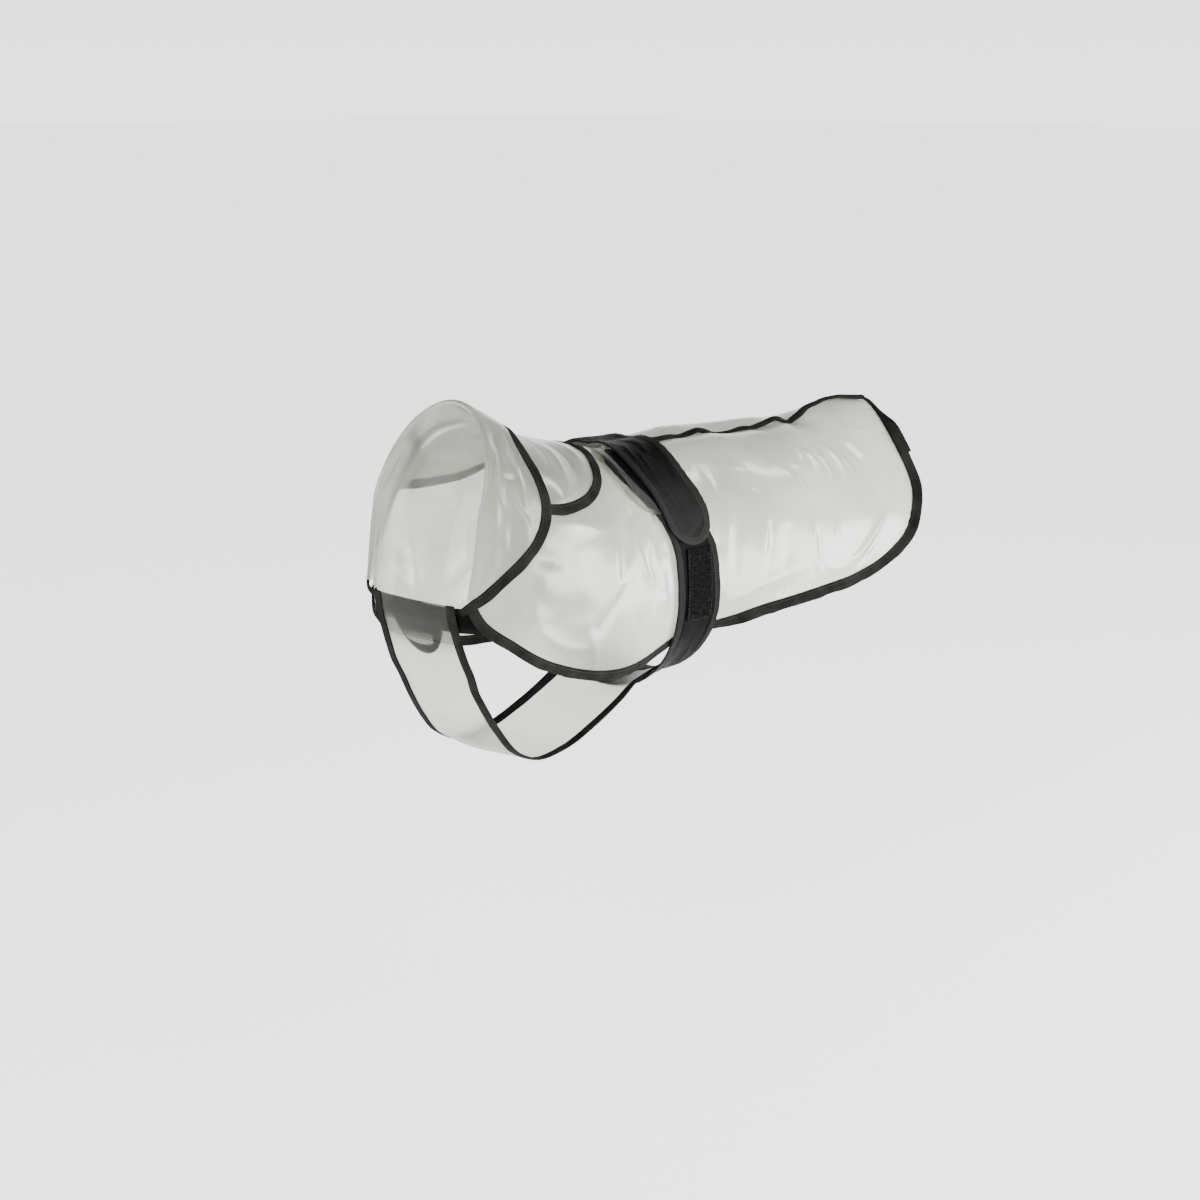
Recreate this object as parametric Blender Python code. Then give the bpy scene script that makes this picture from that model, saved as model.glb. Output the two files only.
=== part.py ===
"""Dog raincoat, worn: a see-through film coat on a general four-legged figure's hollow form.

Frame, metres: X runs from the head end (-X) to the tail end (+X), Y to the wearer's right,
Z up. The origin is on the underside of the coat's back, on the spine, at mid-back.

Every piece of the coat's body is worked out on one surface, the figure's form. A place on it
is a length q along the spine and a girth s round the body from the spine, both in mm, with s
positive on the wearer's left, and a height h above it along its normal.
"""
import bpy
import numpy as np

MM = 0.001
SEAM = 0.3                # gap between neighbouring pieces
FILM = 1.0                # film wall
TAPE_WIDTH = 8.0          # folded edge tape, across
TAPE_THICK = 2.2          # tape on both faces of the film
MID_BACK_Z = 3.5          # the figure's top at the origin
LIFT = FILM / 2.0 - MID_BACK_Z    # the film's underside is at z = 0 at the origin

# heights of the pieces that lie over the body film, low face and high face
BODY_FILM = (-FILM / 2.0, FILM / 2.0)
BODY_TAPE = (-TAPE_THICK / 2.0, TAPE_THICK / 2.0)
FLAP_FILM = (1.6, 2.4)
FLAP_TAPE = (1.2, 2.8)
BELT_UNDER = (2.0, 3.8)
BELT_OVER = (4.9, 6.7)
LOOP_PILE = (4.3, 5.3)
COLLAR_RISE = 4.6         # height of the collar's turned-down part
COLLAR_TAPE = (3.5, 5.7)

# the figure's form, a row for each section from the neck to the tail, in mm:
# top (x, z), widest place (x, y, z), lowest place (x, z), roundness above and below
FIGURE_COLUMNS = ("top_x", "top_z", "side_x", "side_y", "side_z", "low_x", "low_z",
                  "round_top", "round_low")
FIGURE = (
    (-224, 67, -254, 56, -14, -273, -160, 2.0, 3.0),
    (-211, 60, -243, 63, -18, -269, -166, 2.0, 3.0),
    (-168, 35, -200, 90, -40, -256, -179, 2.0, 2.5),
    (-119, 20, -150, 94, -80, -238, -220, 2.1, 3.0),
    (-75, 12, -92, 93, -105, -144, -239, 2.2, 3.0),
    (-36, 6, -40, 85, -118, -46, -212, 2.4, 2.3),
    (0, MID_BACK_Z, 0, 81, -124, 0, -204, 2.5, 2.0),
    (32, 3.5, 32, 82, -124, 32, -204, 2.5, 2.0),
    (84, 4.5, 80, 91, -128, 78, -215, 2.6, 2.6),
    (140, 0.5, 137, 95, -126, 135, -215, 2.6, 2.8),
    (200, 0.5, 200, 95, -120, 200, -210, 2.3, 2.8),
    (238, 0.0, 238, 93, -119, 236, -208, 2.1, 2.8),
    (268, 7, 268, 91, -118, 264, -205, 2.0, 2.8),
    (318, 13.5, 320, 87, -116, 314, -200, 1.75, 2.6),
    (358, 9, 352, 83, -112, 346, -195, 1.55, 2.6),
)
SECTION_STEPS = 90        # points on half a section, for its girth

# the film stands up beside the spine from the belt back, more on the right
PUFF_PEAK_S = 36.0
PUFF_LEFT, PUFF_RIGHT = 2.0, 7.0
PUFF_FROM, PUFF_FULL, PUFF_FADE, PUFF_TO = -62.0, -30.0, 215.0, 290.0

# middle of the edge tape round a body panel as (q, s), from the front corner by the hem to
# the spine
HEM = (
    (-222, 197.5), (-208.5, 208.5), (-189, 220.5), (-168, 229.5), (-149, 235), (-130, 239.5),
    (-112, 242.5), (-94, 243.5), (-80, 242), (-66, 238), (-51, 230), (-38, 221),
    (-24, 213.5), (0, 208.5), (34, 206.5), (66, 207), (102, 206), (142, 203), (185, 199),
    (220, 195), (260, 189.5), (285, 182.5), (306, 172), (321, 158.5), (332, 142.5), (341, 128.5),
    (346, 115.5), (346.5, 103.5), (343, 90.5), (341, 75), (341, 60), (343, 45), (348, 30),
    (353, 16), (358, 1.4),
)
CORNER_ROW = 23           # row of HEM at the middle of the rounded rear corner
CORNER_SKIP = 4           # places left out of the line where it starts at the front corner
REAR_SPINE_S = 4.0        # the rear line runs straight to the seam from here
REAR_SPINE_DROP = 0.3     # and ends this much farther back

NECK_Q = -213.7           # neck seam, at the spine
NECK_CORNER = (-218.0, 192.5)
NECK_BEND = (-214.0, 172.0)
NECK_EVEN_S = (60.0, 120.0)   # places on the straight part of the neck seam

# middle of the tape on the collar's free edge, from the spine to the front corner
COLLAR_EDGE = (
    (-180, 0), (-184, 16), (-190, 33), (-193, 50), (-190.5, 66), (-185.5, 80), (-181.5, 93),
    (-178.5, 105), (-177, 117), (-177, 128), (-179, 140.5), (-183.5, 151.5), (-190, 162),
    (-197.5, 171.5), (-205, 179.5), (-212.5, 186), (-221, 191),
)
FOLD_Q = -226.0           # line of the collar's fold
COLLAR_END_S = 186.5

# middle of the tape on the leash flap's free edge, from the collar's tape to the spine
FLAP_EDGE = (
    (-174, 112), (-164, 110.5), (-153.5, 107), (-139.5, 100), (-125.5, 91.5), (-114.5, 82),
    (-106, 71), (-100.5, 59), (-95, 46), (-90, 31.5), (-87, 15), (-86, 0),
)
FLAP_ROOT_Q = -184.0      # the flap's sewn edge, under the collar's tape
FLAP_LEAST = 1.0          # least length of the flap, at its ends

# the belt's middle line and half width on the upper strap, from the left end over the spine
BELT_HALF = 28.5
BELT_UPPER = (
    (-5, 125), (-9, 113), (-13, 100), (-17, 90), (-21, 79), (-26, 68), (-29, 55), (-29, 40),
    (-26, 22), (-22, 2), (-18, -20), (-14, -45), (-9, -70), (-4, -95), (0, -120), (0, -150),
    (0, -205), (0, -250),
)
BELT_LOWER = (
    (-40, 23), (-43, 40), (-45, 55), (-41, 68), (-33, 79), (-24, 89), (-17, 101), (-10, 113),
    (-3, 126), (0, 142), (0, 205), (0, 250),
)
UPPER_TIP_ROUND, LOWER_TIP_ROUND = 20.0, 9.0
BELT_STEP = 8.0
STRAP_EVEN = 0.4          # share of a strap after which its rows turn square to the belly
STRAP_RISE_FROM, STRAP_RISE_TO = -14.0, 14.0     # where the upper strap climbs on the lower
LOOP_Q = (-15.5, 17.5)
LOOP_S = (128.0, 192.0)

# the seam fin on the spine: the two panels' edges stand up in a folded tape
FIN_Q = (20.5, 348.5)
FIN_BASE, FIN_HIGH, FIN_THICK = 2.1, 7.0, 1.8
FIN_LEAN = 1.15           # radians, toward the left
FIN_WAVES = ((46.0, 0.9, 0.4), (27.0, 0.45, 2.1))   # length, height and start of each wave

# the bib from the neck down the chest and back under the belly: middle line x and z, half
# width over the tapes, and how far its edges bend toward the body
BIB = (
    (-268.0, -93, 48.0, 2.6), (-266.0, -106, 48.2, 2.6), (-261.0, -124, 48.5, 2.8),
    (-252.0, -149, 49.5, 3.0), (-237.0, -180, 50.5, 3.2), (-218.5, -210, 51.5, 3.2),
    (-199.0, -232.5, 52, 3.2), (-172.0, -245, 52, 3.2), (-136.0, -243, 52, 3.4),
    (-95.0, -230.0, 51, 3.8), (-58.0, -216.4, 50, 7.0), (-38.0, -211.3, 49, 13.0),
    (-23.0, -208.2, 48.5, 14.5), (-2.0, -204.7, 48, 15.8),
)
BIB_ROWS, BIB_COLS = 32, 6
BIB_CHEST_ROWS = 7        # rows of the table down the chest, where z falls all the way

# the closure behind the bib's top: distance back at each y, then the tabs' sizes
CHEST_BACK = ((0, 0), (20, 0.3), (31, 1.0), (43, 2.6), (50, 5.2), (58, 10.0), (64, 16.6))
CHEST_BEHIND = 2.45       # from the bib's middle line to the outer tab
CHEST_THICK = 1.6
TAB_GAP = 2.4             # from the outer tab to the inner one
TAB_TOP, TAB_LOW = -95.0, -116.5
TONGUE_HALF, TONGUE_LOW = 31.0, -142.0
TONGUE_END = 0.6          # the tongue's cut end, short of its full half width
TAB_CORNER_Y = 62.0
TAB_INNER_END = 8.0
TAB_DIVE_Y, TAB_DIVE_RUN = 50.0, 12.0   # where the inner tab passes behind the outer one

# how finely each piece is divided
LINE_PLACES = 240         # places on an edge line while it is worked out
LINE_THIN = 3             # every third one goes on, which evens the line
PANEL_ROWS = 38
END_PLACES = 60           # on the neck and rear lines of a panel
PANEL_SHARES = (0.0, 0.08, 0.16, 0.235, 0.305, 0.37, 0.435, 0.505, 0.59, 0.69, 0.84, 1.0)
COLLAR_ROWS = 45
FLAP_ROWS, FLAP_COLS = 33, 7
FIN_PLACES = 55
STRAP_PLACES = 160
STRAP_COLS_LOWER, STRAP_COLS_UPPER = 7, 9
LOOP_ROWS, LOOP_COLS = 9, 4
TAB_OUTER_PLACES, TAB_INNER_PLACES, TAB_ROWS = 26, 16, 4

MATERIALS = {
    "film": ((0.82, 0.83, 0.81, 1.0), 0.45),
    "tape": ((0.025, 0.026, 0.025, 1.0), 0.7),
    "strap": ((0.015, 0.015, 0.016, 1.0), 0.75),
}


def clear_scene():
    for item in list(bpy.data.objects):
        bpy.data.objects.remove(item, do_unlink=True)


def smooth_curve(x, y, at):
    """Values at `at` of a smooth curve through (x, y), straight beyond its ends."""
    x, y, at = (np.asarray(v, float) for v in (x, y, at))
    step = np.diff(x)
    rise = np.diff(y) / step
    slope = np.empty(len(x))
    slope[1:-1] = (rise[:-1] * step[1:] + rise[1:] * step[:-1]) / (step[1:] + step[:-1])
    slope[0], slope[-1] = rise[0], rise[-1]
    inside = np.clip(at, x[0], x[-1])
    k = np.clip(np.searchsorted(x, inside, side="right") - 1, 0, len(step) - 1)
    t = (inside - x[k]) / step[k]
    value = ((2 * t**3 - 3 * t**2 + 1) * y[k] + (t**3 - 2 * t**2 + t) * step[k] * slope[k]
             + (3 * t**2 - 2 * t**3) * y[k + 1] + (t**3 - t**2) * step[k] * slope[k + 1])
    return value + (at - inside) * np.where(at < x[0], slope[0], slope[-1])


def ease(t):
    t = np.clip(t, 0.0, 1.0)
    return t * t * (3.0 - 2.0 * t)


FIGURE_TABLE = np.array(FIGURE, float)
SPINE_Q = np.concatenate([[0.0], np.cumsum(np.hypot(np.diff(FIGURE_TABLE[:, 0]),
                                                    np.diff(FIGURE_TABLE[:, 1])))])
SPINE_Q -= np.interp(0.0, FIGURE_TABLE[:, 0], SPINE_Q)


def half_section(q):
    """Points of half a section at each q, from the spine to the lowest place, and girths."""
    col = dict(zip(FIGURE_COLUMNS, (smooth_curve(SPINE_Q, c, q)[:, None]
                                    for c in FIGURE_TABLE.T)))
    turn = np.linspace(0.0, np.pi / 2, SECTION_STEPS)[None, :]
    cos, sin = np.clip(np.cos(turn), 0.0, 1.0), np.sin(turn)
    down = 1.0 - cos ** (2.0 / col["round_top"])
    out = sin ** (2.0 / col["round_top"])
    upper = (col["top_x"] + down * (col["side_x"] - col["top_x"]), out * col["side_y"],
             col["top_z"] + down * (col["side_z"] - col["top_z"]))
    down = sin ** (2.0 / col["round_low"])
    out = cos ** (2.0 / col["round_low"])
    lower = (col["side_x"] + down * (col["low_x"] - col["side_x"]), out * col["side_y"],
             col["side_z"] + down * (col["low_z"] - col["side_z"]))
    points = np.stack([np.concatenate([a, b[:, 1:]], axis=1) for a, b in zip(upper, lower)], -1)
    girth = np.cumsum(np.linalg.norm(np.diff(points, axis=1), axis=2), axis=1)
    return points, np.concatenate([np.zeros((len(points), 1)), girth], axis=1)


def half_girth(q):
    return half_section(np.atleast_1d(np.asarray(q, float)))[1][:, -1]


def puff(q, s):
    """Height of the film's rise beside the spine."""
    reach = (np.abs(s) / PUFF_PEAK_S) ** 2
    along = ease((q - PUFF_FROM) / (PUFF_FULL - PUFF_FROM)) * ease((PUFF_TO - q)
                                                                   / (PUFF_TO - PUFF_FADE))
    return np.where(s > 0, PUFF_LEFT, PUFF_RIGHT) * along * reach * np.exp(1.0 - reach)


def form(q, s):
    """The figure's form at spine length q and girth s, as points in mm."""
    q, s = np.broadcast_arrays(np.asarray(q, float), np.asarray(s, float))
    flat_q, flat_s = q.ravel(), s.ravel()
    points, girth = half_section(flat_q)
    whole = girth[:, -1]
    reach = np.abs(flat_s)
    side = -np.where(flat_s < 0, -1.0, 1.0)
    past = reach > whole
    reach = np.where(past, 2 * whole - reach, reach)
    side = np.where(past, -side, side)
    out = np.empty((len(flat_q), 3))
    for i, (row, run, place) in enumerate(zip(points, girth, reach)):
        out[i] = [np.interp(place, run, row[:, k]) for k in range(3)]
    out[:, 1] *= side
    out[:, 2] += puff(flat_q, flat_s) + LIFT
    return out.reshape(q.shape + (3,))


def form_slopes(q, s):
    step = 1.2
    return ((form(q + step, s) - form(q - step, s)) / (2 * step),
            (form(q, s + step) - form(q, s - step)) / (2 * step))


def unit(v):
    return v / np.maximum(np.linalg.norm(v, axis=-1, keepdims=True), 1e-9)


def form_normal(q, s):
    along, around = form_slopes(q, s)
    return unit(np.cross(around, along))


def over(q, s, h):
    """Points at height h above the form."""
    q, s, h = np.broadcast_arrays(*(np.asarray(v, float) for v in (q, s, h)))
    return form(q, s) + form_normal(q, s) * h[..., None]


def resample(table, count, by_form=True):
    """`count` evenly spaced places on the smooth line through the table's (q, s) rows."""
    table = np.array(table, float)
    run = np.concatenate([[0.0], np.cumsum(np.hypot(*np.diff(table, axis=0).T))])
    fine = np.linspace(0.0, run[-1], 40 * len(table))
    line = np.stack([smooth_curve(run, c, fine) for c in table.T], -1)
    real = form(line[:, 0], line[:, 1]) if by_form else line
    length = np.concatenate([[0.0], np.cumsum(np.linalg.norm(np.diff(real, axis=0), axis=1))])
    at = np.linspace(0.0, length[-1], count)
    return np.stack([np.interp(at, length, c) for c in line.T], -1)


def shifted(line, distance):
    """The line moved sideways over the form, to the left of its way when distance > 0."""
    line = np.array(line, float)
    for _ in range(2):
        real = form(line[:, 0], line[:, 1])
        way = unit(np.gradient(real, axis=0))
        along, around = form_slopes(line[:, 0], line[:, 1])
        side = np.cross(unit(np.cross(around, along)), way) * distance / 2.0
        aa, bb, ab = (along * along).sum(-1), (around * around).sum(-1), (along * around).sum(-1)
        sa, sb = (side * along).sum(-1), (side * around).sum(-1)
        det = aa * bb - ab * ab
        line = line + np.stack([(sa * bb - sb * ab) / det, (sb * aa - sa * ab) / det], -1)
    return line


def material(kind):
    name = "coat_" + kind
    mat = bpy.data.materials.get(name)
    if mat is None:
        colour, rough = MATERIALS[kind]
        mat = bpy.data.materials.new(name)
        mat.use_nodes = True
        shader = mat.node_tree.nodes["Principled BSDF"]
        shader.inputs["Base Color"].default_value = colour
        shader.inputs["Roughness"].default_value = rough
        mat.diffuse_color = colour
    return mat


def closed_sheet(name, low, high, kind):
    """A wall between two grids of points (rows, columns, 3), closed round its edges."""
    rows, cols = low.shape[:2]
    size = rows * cols
    verts = np.concatenate([low.reshape(-1, 3), high.reshape(-1, 3)]) * MM
    index = np.arange(size).reshape(rows, cols)
    faces = []
    for i in range(rows - 1):
        for j in range(cols - 1):
            quad = (index[i, j], index[i + 1, j], index[i + 1, j + 1], index[i, j + 1])
            faces.append(quad)
            faces.append(tuple(size + v for v in reversed(quad)))
    rim = (list(index[0, :]) + list(index[1:, -1]) + list(index[-1, -2::-1])
           + list(index[-2:0:-1, 0]))
    for a, b in zip(rim, rim[1:] + rim[:1]):
        faces.append((a, b, size + b, size + a))
    mesh = bpy.data.meshes.new(name)
    mesh.from_pydata([tuple(v) for v in verts], [], [tuple(int(v) for v in f) for f in faces])
    mesh.update()
    mid = verts.mean(axis=0)
    volume = sum((verts[f[0]] - mid) @ np.cross(verts[f[i]] - mid, verts[f[i + 1]] - mid)
                 for f in faces for i in range(1, len(f) - 1))
    if volume < 0:
        mesh.flip_normals()
    mesh.materials.append(material(kind))
    thing = bpy.data.objects.new(name, mesh)
    bpy.context.scene.collection.objects.link(thing)
    return thing


def patch(spine, hem, neck, rear, shares):
    """Grid of (q, s) inside four lines; `shares` are the places of its columns, 0 to 1."""
    count = len(spine)
    u = np.linspace(0.0, 1.0, count)[:, None, None]
    v = np.asarray(shares)[None, :, None]
    pick = np.linspace(0.0, 1.0, len(neck))
    neck_at = np.stack([np.interp(shares, pick, c) for c in neck.T], -1)[None]
    rear_at = np.stack([np.interp(shares, pick, c) for c in rear.T], -1)[None]
    flat = ((1 - u) * (1 - v) * spine[0] + u * (1 - v) * spine[-1]
            + (1 - u) * v * hem[0] + u * v * hem[-1])
    return (1 - v) * spine[:, None] + v * hem[:, None] + (1 - u) * neck_at + u * rear_at - flat


def mirrored(grid):
    return grid * np.array([1.0, -1.0])


def panel_grid():
    """Places of the left body panel's film, the hem on its last column."""
    edge = shifted(resample(HEM, LINE_PLACES), TAPE_WIDTH / 2.0 + SEAM)
    corner = int(np.argmin(np.hypot(*(edge - np.array(HEM[CORNER_ROW])).T)))
    hem = np.concatenate([[NECK_CORNER], edge[CORNER_SKIP:corner + 1]])
    rear = edge[corner:][::-1]
    rear = rear[rear[:, 1] > REAR_SPINE_S]
    rear = np.concatenate([[[rear[0, 0] + REAR_SPINE_DROP, SEAM / 2.0]], rear])
    neck = np.array([(NECK_Q, s) for s in (SEAM / 2.0, *NECK_EVEN_S)]
                    + [NECK_BEND, NECK_CORNER])
    spine = np.stack([np.linspace(NECK_Q, rear[0, 0], PANEL_ROWS),
                      np.full(PANEL_ROWS, SEAM / 2.0)], -1)
    return patch(spine, resample(hem[::LINE_THIN], PANEL_ROWS), resample(neck, END_PLACES),
                 resample(rear[::LINE_THIN], END_PLACES), PANEL_SHARES)


def slab(name, grid, heights, kind):
    """A wall over a grid of (q, s) places between two heights."""
    q, s = grid[..., 0], grid[..., 1]
    base, normal = form(q, s), form_normal(q, s)
    return closed_sheet(name, base + normal * heights[0], base + normal * heights[1], kind)


def tape_grid(edge, outward):
    """Places of the tape beside a film's edge; `outward` is 1 or -1, the side it lies on."""
    return np.stack([shifted(edge, outward * SEAM), shifted(edge, outward * (SEAM + TAPE_WIDTH))],
                    axis=1)


def build_panels():
    """Both body panels and their edge tapes; gives the places along the neck seam."""
    grid = panel_grid()
    slab("panel_left", grid, BODY_FILM, "film")
    slab("panel_right", mirrored(grid), BODY_FILM, "film")
    edge = np.concatenate([grid[:, -1], grid[-1, -2::-1]])
    tape = tape_grid(edge, -1.0)
    tape[-1, :, 1] = SEAM / 2.0
    slab("hem_tape_left", tape, BODY_TAPE, "tape")
    slab("hem_tape_right", mirrored(tape), BODY_TAPE, "tape")
    return grid[0]


def build_spine_fin():
    q = np.linspace(*FIN_Q, FIN_PLACES)
    base, normal = form(q, 0 * q), form_normal(q, 0 * q)
    left = np.array([0.0, -1.0, 0.0])
    rise = np.cos(FIN_LEAN) * normal + np.sin(FIN_LEAN) * left
    across = np.cos(FIN_LEAN) * left - np.sin(FIN_LEAN) * normal
    wave = sum(high * np.sin(2 * np.pi * q / long + start) for long, high, start in FIN_WAVES)
    foot = base + normal * FIN_BASE
    top = foot + rise * (FIN_HIGH + wave)[:, None]
    half = across * FIN_THICK / 2.0
    closed_sheet("spine_tape", np.stack([foot - half, top - half], 1),
                 np.stack([foot + half, top + half], 1), "tape")


def collar_profile(q_in, q_out):
    """(q, h) of the folded collar's middle: up inside, over the fold and down outside."""
    radius = COLLAR_RISE / 2.0
    inside = [(q_in + (FOLD_Q - q_in) * t, 0.0) for t in (0.0, 1.0)]
    turn = [(FOLD_Q - radius * np.sin(a), radius * (1.0 - np.cos(a)))
            for a in np.linspace(0.0, np.pi, 5)[1:-1]]
    outside = [(FOLD_Q + (q_out - FOLD_Q) * t, COLLAR_RISE)
               for t in (0.0, 0.25, 0.5, 0.75, 1.0)]
    return np.array(inside + turn + outside)


def build_collar(neck):
    half = np.array(COLLAR_EDGE, float)
    line = resample(np.concatenate([mirrored(half)[::-1], half[1:]]), LINE_PLACES)
    edge = shifted(line, -(TAPE_WIDTH / 2.0 + SEAM))
    edge = resample(edge[np.abs(edge[:, 1]) < COLLAR_END_S][::LINE_THIN], COLLAR_ROWS)
    q_in = np.interp(np.abs(edge[:, 1]), neck[:, 1], neck[:, 0]) - SEAM
    low, high = [], []
    for start, (end, girth) in zip(q_in, edge):
        middle = collar_profile(start, end)
        way = unit(np.gradient(middle, axis=0))
        side = np.stack([-way[:, 1], way[:, 0]], -1) * FILM / 2.0
        low.append(over(middle[:, 0] - side[:, 0], girth, middle[:, 1] - side[:, 1]))
        high.append(over(middle[:, 0] + side[:, 0], girth, middle[:, 1] + side[:, 1]))
    closed_sheet("collar", np.array(low), np.array(high), "film")
    slab("collar_tape", tape_grid(edge, 1.0), COLLAR_TAPE, "tape")


def build_flap():
    half = np.array(FLAP_EDGE, float)
    line = resample(np.concatenate([half, mirrored(half)[::-1][1:]]), LINE_PLACES)
    edge = resample(shifted(line, TAPE_WIDTH / 2.0 + SEAM)[::LINE_THIN], FLAP_ROWS)
    slab("flap_tape", tape_grid(edge, -1.0), FLAP_TAPE, "tape")
    share = np.linspace(0.0, 1.0, FLAP_COLS)[None, :, None]
    root = np.stack([np.minimum(FLAP_ROOT_Q, edge[:, 0] - FLAP_LEAST), edge[:, 1]], -1)
    slab("leash_flap", root[:, None] * (1 - share) + edge[:, None] * share, FLAP_FILM, "film")


def strap_grid(table, half, tip_round, cols, cut_low):
    """A strap along a table of (q, s), its first end rounded, its last at the belly."""
    across = np.linspace(-1.0, 1.0, cols)
    middle = resample(table, STRAP_PLACES)
    length = np.abs(np.diff(middle[:, 1])).sum()
    rows = int(round(length / BELT_STEP)) + 1
    run = np.linspace(0.0, 1.0, STRAP_PLACES)
    grid = np.empty((rows, cols, 2))
    sign = np.sign(middle[-1, 1])
    for j, v in enumerate(across):
        q_side = middle[:, 0] + v * half
        start = tip_round * (1.0 - np.sqrt(max(0.0, 1.0 - v * v))) / length
        t = start + (1.0 - start) * np.linspace(0.0, 1.0, rows)
        grid[:, j, 0] = np.interp(t, run, q_side)
        s = np.interp(t, run, middle[:, 1])
        end = sign * (half_girth(middle[-1:, 0] + v * half)[0] - cut_low)
        share = ease((np.linspace(0.0, 1.0, rows) - STRAP_EVEN) / (1.0 - STRAP_EVEN))
        grid[:, j, 1] = s + share * (end - middle[-1, 1])
    return grid


def build_belt():
    cut = SEAM / 2.0
    lower = strap_grid(BELT_LOWER, BELT_HALF, LOWER_TIP_ROUND, STRAP_COLS_LOWER, cut)
    slab("belt_lower", lower, BELT_UNDER, "strap")
    upper = strap_grid(BELT_UPPER, BELT_HALF, UPPER_TIP_ROUND, STRAP_COLS_UPPER, cut)
    climb = ease((upper[..., 1] - STRAP_RISE_FROM) / (STRAP_RISE_TO - STRAP_RISE_FROM))
    base, normal = form(upper[..., 0], upper[..., 1]), form_normal(upper[..., 0],
                                                                   upper[..., 1])
    faces = [base + normal * (BELT_UNDER[k] + climb * (BELT_OVER[k] - BELT_UNDER[k]))[..., None]
             for k in (0, 1)]
    closed_sheet("belt_upper", faces[0], faces[1], "strap")
    q, s = np.meshgrid(np.linspace(*LOOP_Q, LOOP_COLS), np.linspace(*LOOP_S, LOOP_ROWS))
    slab("velcro_loop", np.stack([q, s], -1), LOOP_PILE, "strap")


BIB_TABLE = np.array(BIB, float)
BIB_RUN = np.concatenate([[0.0], np.cumsum(np.hypot(np.diff(BIB_TABLE[:, 0]),
                                                    np.diff(BIB_TABLE[:, 1])))])


def bib_point(run, y):
    """Middle of the bib's wall at a length down from its top and a distance y across."""
    x, z, half, bend = (smooth_curve(BIB_RUN, c, run) for c in BIB_TABLE.T)
    ahead = np.stack([smooth_curve(BIB_RUN, c, run + 0.5) - smooth_curve(BIB_RUN, c, run - 0.5)
                      for c in BIB_TABLE.T[:2]], -1)
    ahead = unit(ahead)
    inward = bend * (y / half) ** 2
    return np.stack([x - ahead[..., 1] * inward, y + 0 * x, z + ahead[..., 0] * inward + LIFT],
                    -1)


def bib_normal(run, y):
    step = 0.8
    along = bib_point(run + step, y) - bib_point(run - step, y)
    across = bib_point(run, y + step) - bib_point(run, y - step)
    return unit(np.cross(along, across))


def bib_slab(name, run, y, thick, kind):
    base, normal = bib_point(run, y), bib_normal(run, y)
    closed_sheet(name, base - normal * thick / 2.0, base + normal * thick / 2.0, kind)


def build_bib():
    run = np.linspace(0.0, BIB_RUN[-1], BIB_ROWS)[:, None]
    half = smooth_curve(BIB_RUN, BIB_TABLE[:, 2], run)
    film = half - TAPE_WIDTH - SEAM
    bib_slab("bib", run + np.zeros((1, BIB_COLS)), film * np.linspace(-1, 1, BIB_COLS), FILM,
             "film")
    for name, side in (("bib_tape_left", -1.0), ("bib_tape_right", 1.0)):
        y = side * np.concatenate([half - TAPE_WIDTH, half], axis=1)
        bib_slab(name, run + np.zeros((1, 2)), y, TAPE_THICK, "tape")


def chest_point(y, z, back):
    """Places of the closure behind the bib's top, `back` mm behind the bib's middle."""
    run = np.interp(-z, -BIB_TABLE[:BIB_CHEST_ROWS, 1], BIB_RUN[:BIB_CHEST_ROWS])
    x = smooth_curve(BIB_RUN, BIB_TABLE[:, 0], run)
    curve = np.array(CHEST_BACK, float)
    return np.stack([x + back + smooth_curve(curve[:, 0], curve[:, 1], np.abs(y)), y,
                     z + LIFT], -1)


def build_chest_tabs():
    outer_y = np.linspace(-TAB_CORNER_Y, TONGUE_HALF - TONGUE_END, TAB_OUTER_PLACES)
    low = TAB_TOP - (TAB_TOP - TONGUE_LOW) * np.sqrt(
        np.clip(1.0 - (outer_y / TONGUE_HALF) ** 2, 0.0, 1.0))
    low = np.where(outer_y < 0, np.minimum(low, TAB_LOW), low)
    inner_y = np.linspace(TAB_CORNER_Y, -TAB_INNER_END, TAB_INNER_PLACES)
    sets = (("chest_tab_left", outer_y, low, 0.0 * outer_y),
            ("chest_tab_right", inner_y, np.full(len(inner_y), TAB_LOW),
             TAB_GAP * ease((TAB_DIVE_Y - inner_y) / TAB_DIVE_RUN)))
    for name, y, bottom, behind in sets:
        share = np.linspace(0.0, 1.0, TAB_ROWS)[None, :]
        z = TAB_TOP + (bottom[:, None] - TAB_TOP) * share
        y = y[:, None] + 0 * share
        back = CHEST_BEHIND + behind[:, None] + 0 * share
        closed_sheet(name, chest_point(y, z, back - CHEST_THICK / 2.0),
                     chest_point(y, z, back + CHEST_THICK / 2.0), "strap")


clear_scene()
neck_seam = build_panels()
build_spine_fin()
build_collar(neck_seam)
build_flap()
build_belt()
build_bib()
build_chest_tabs()
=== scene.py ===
"""Looks of the worn dog raincoat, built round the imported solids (metres, Z up)."""
import math

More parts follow.
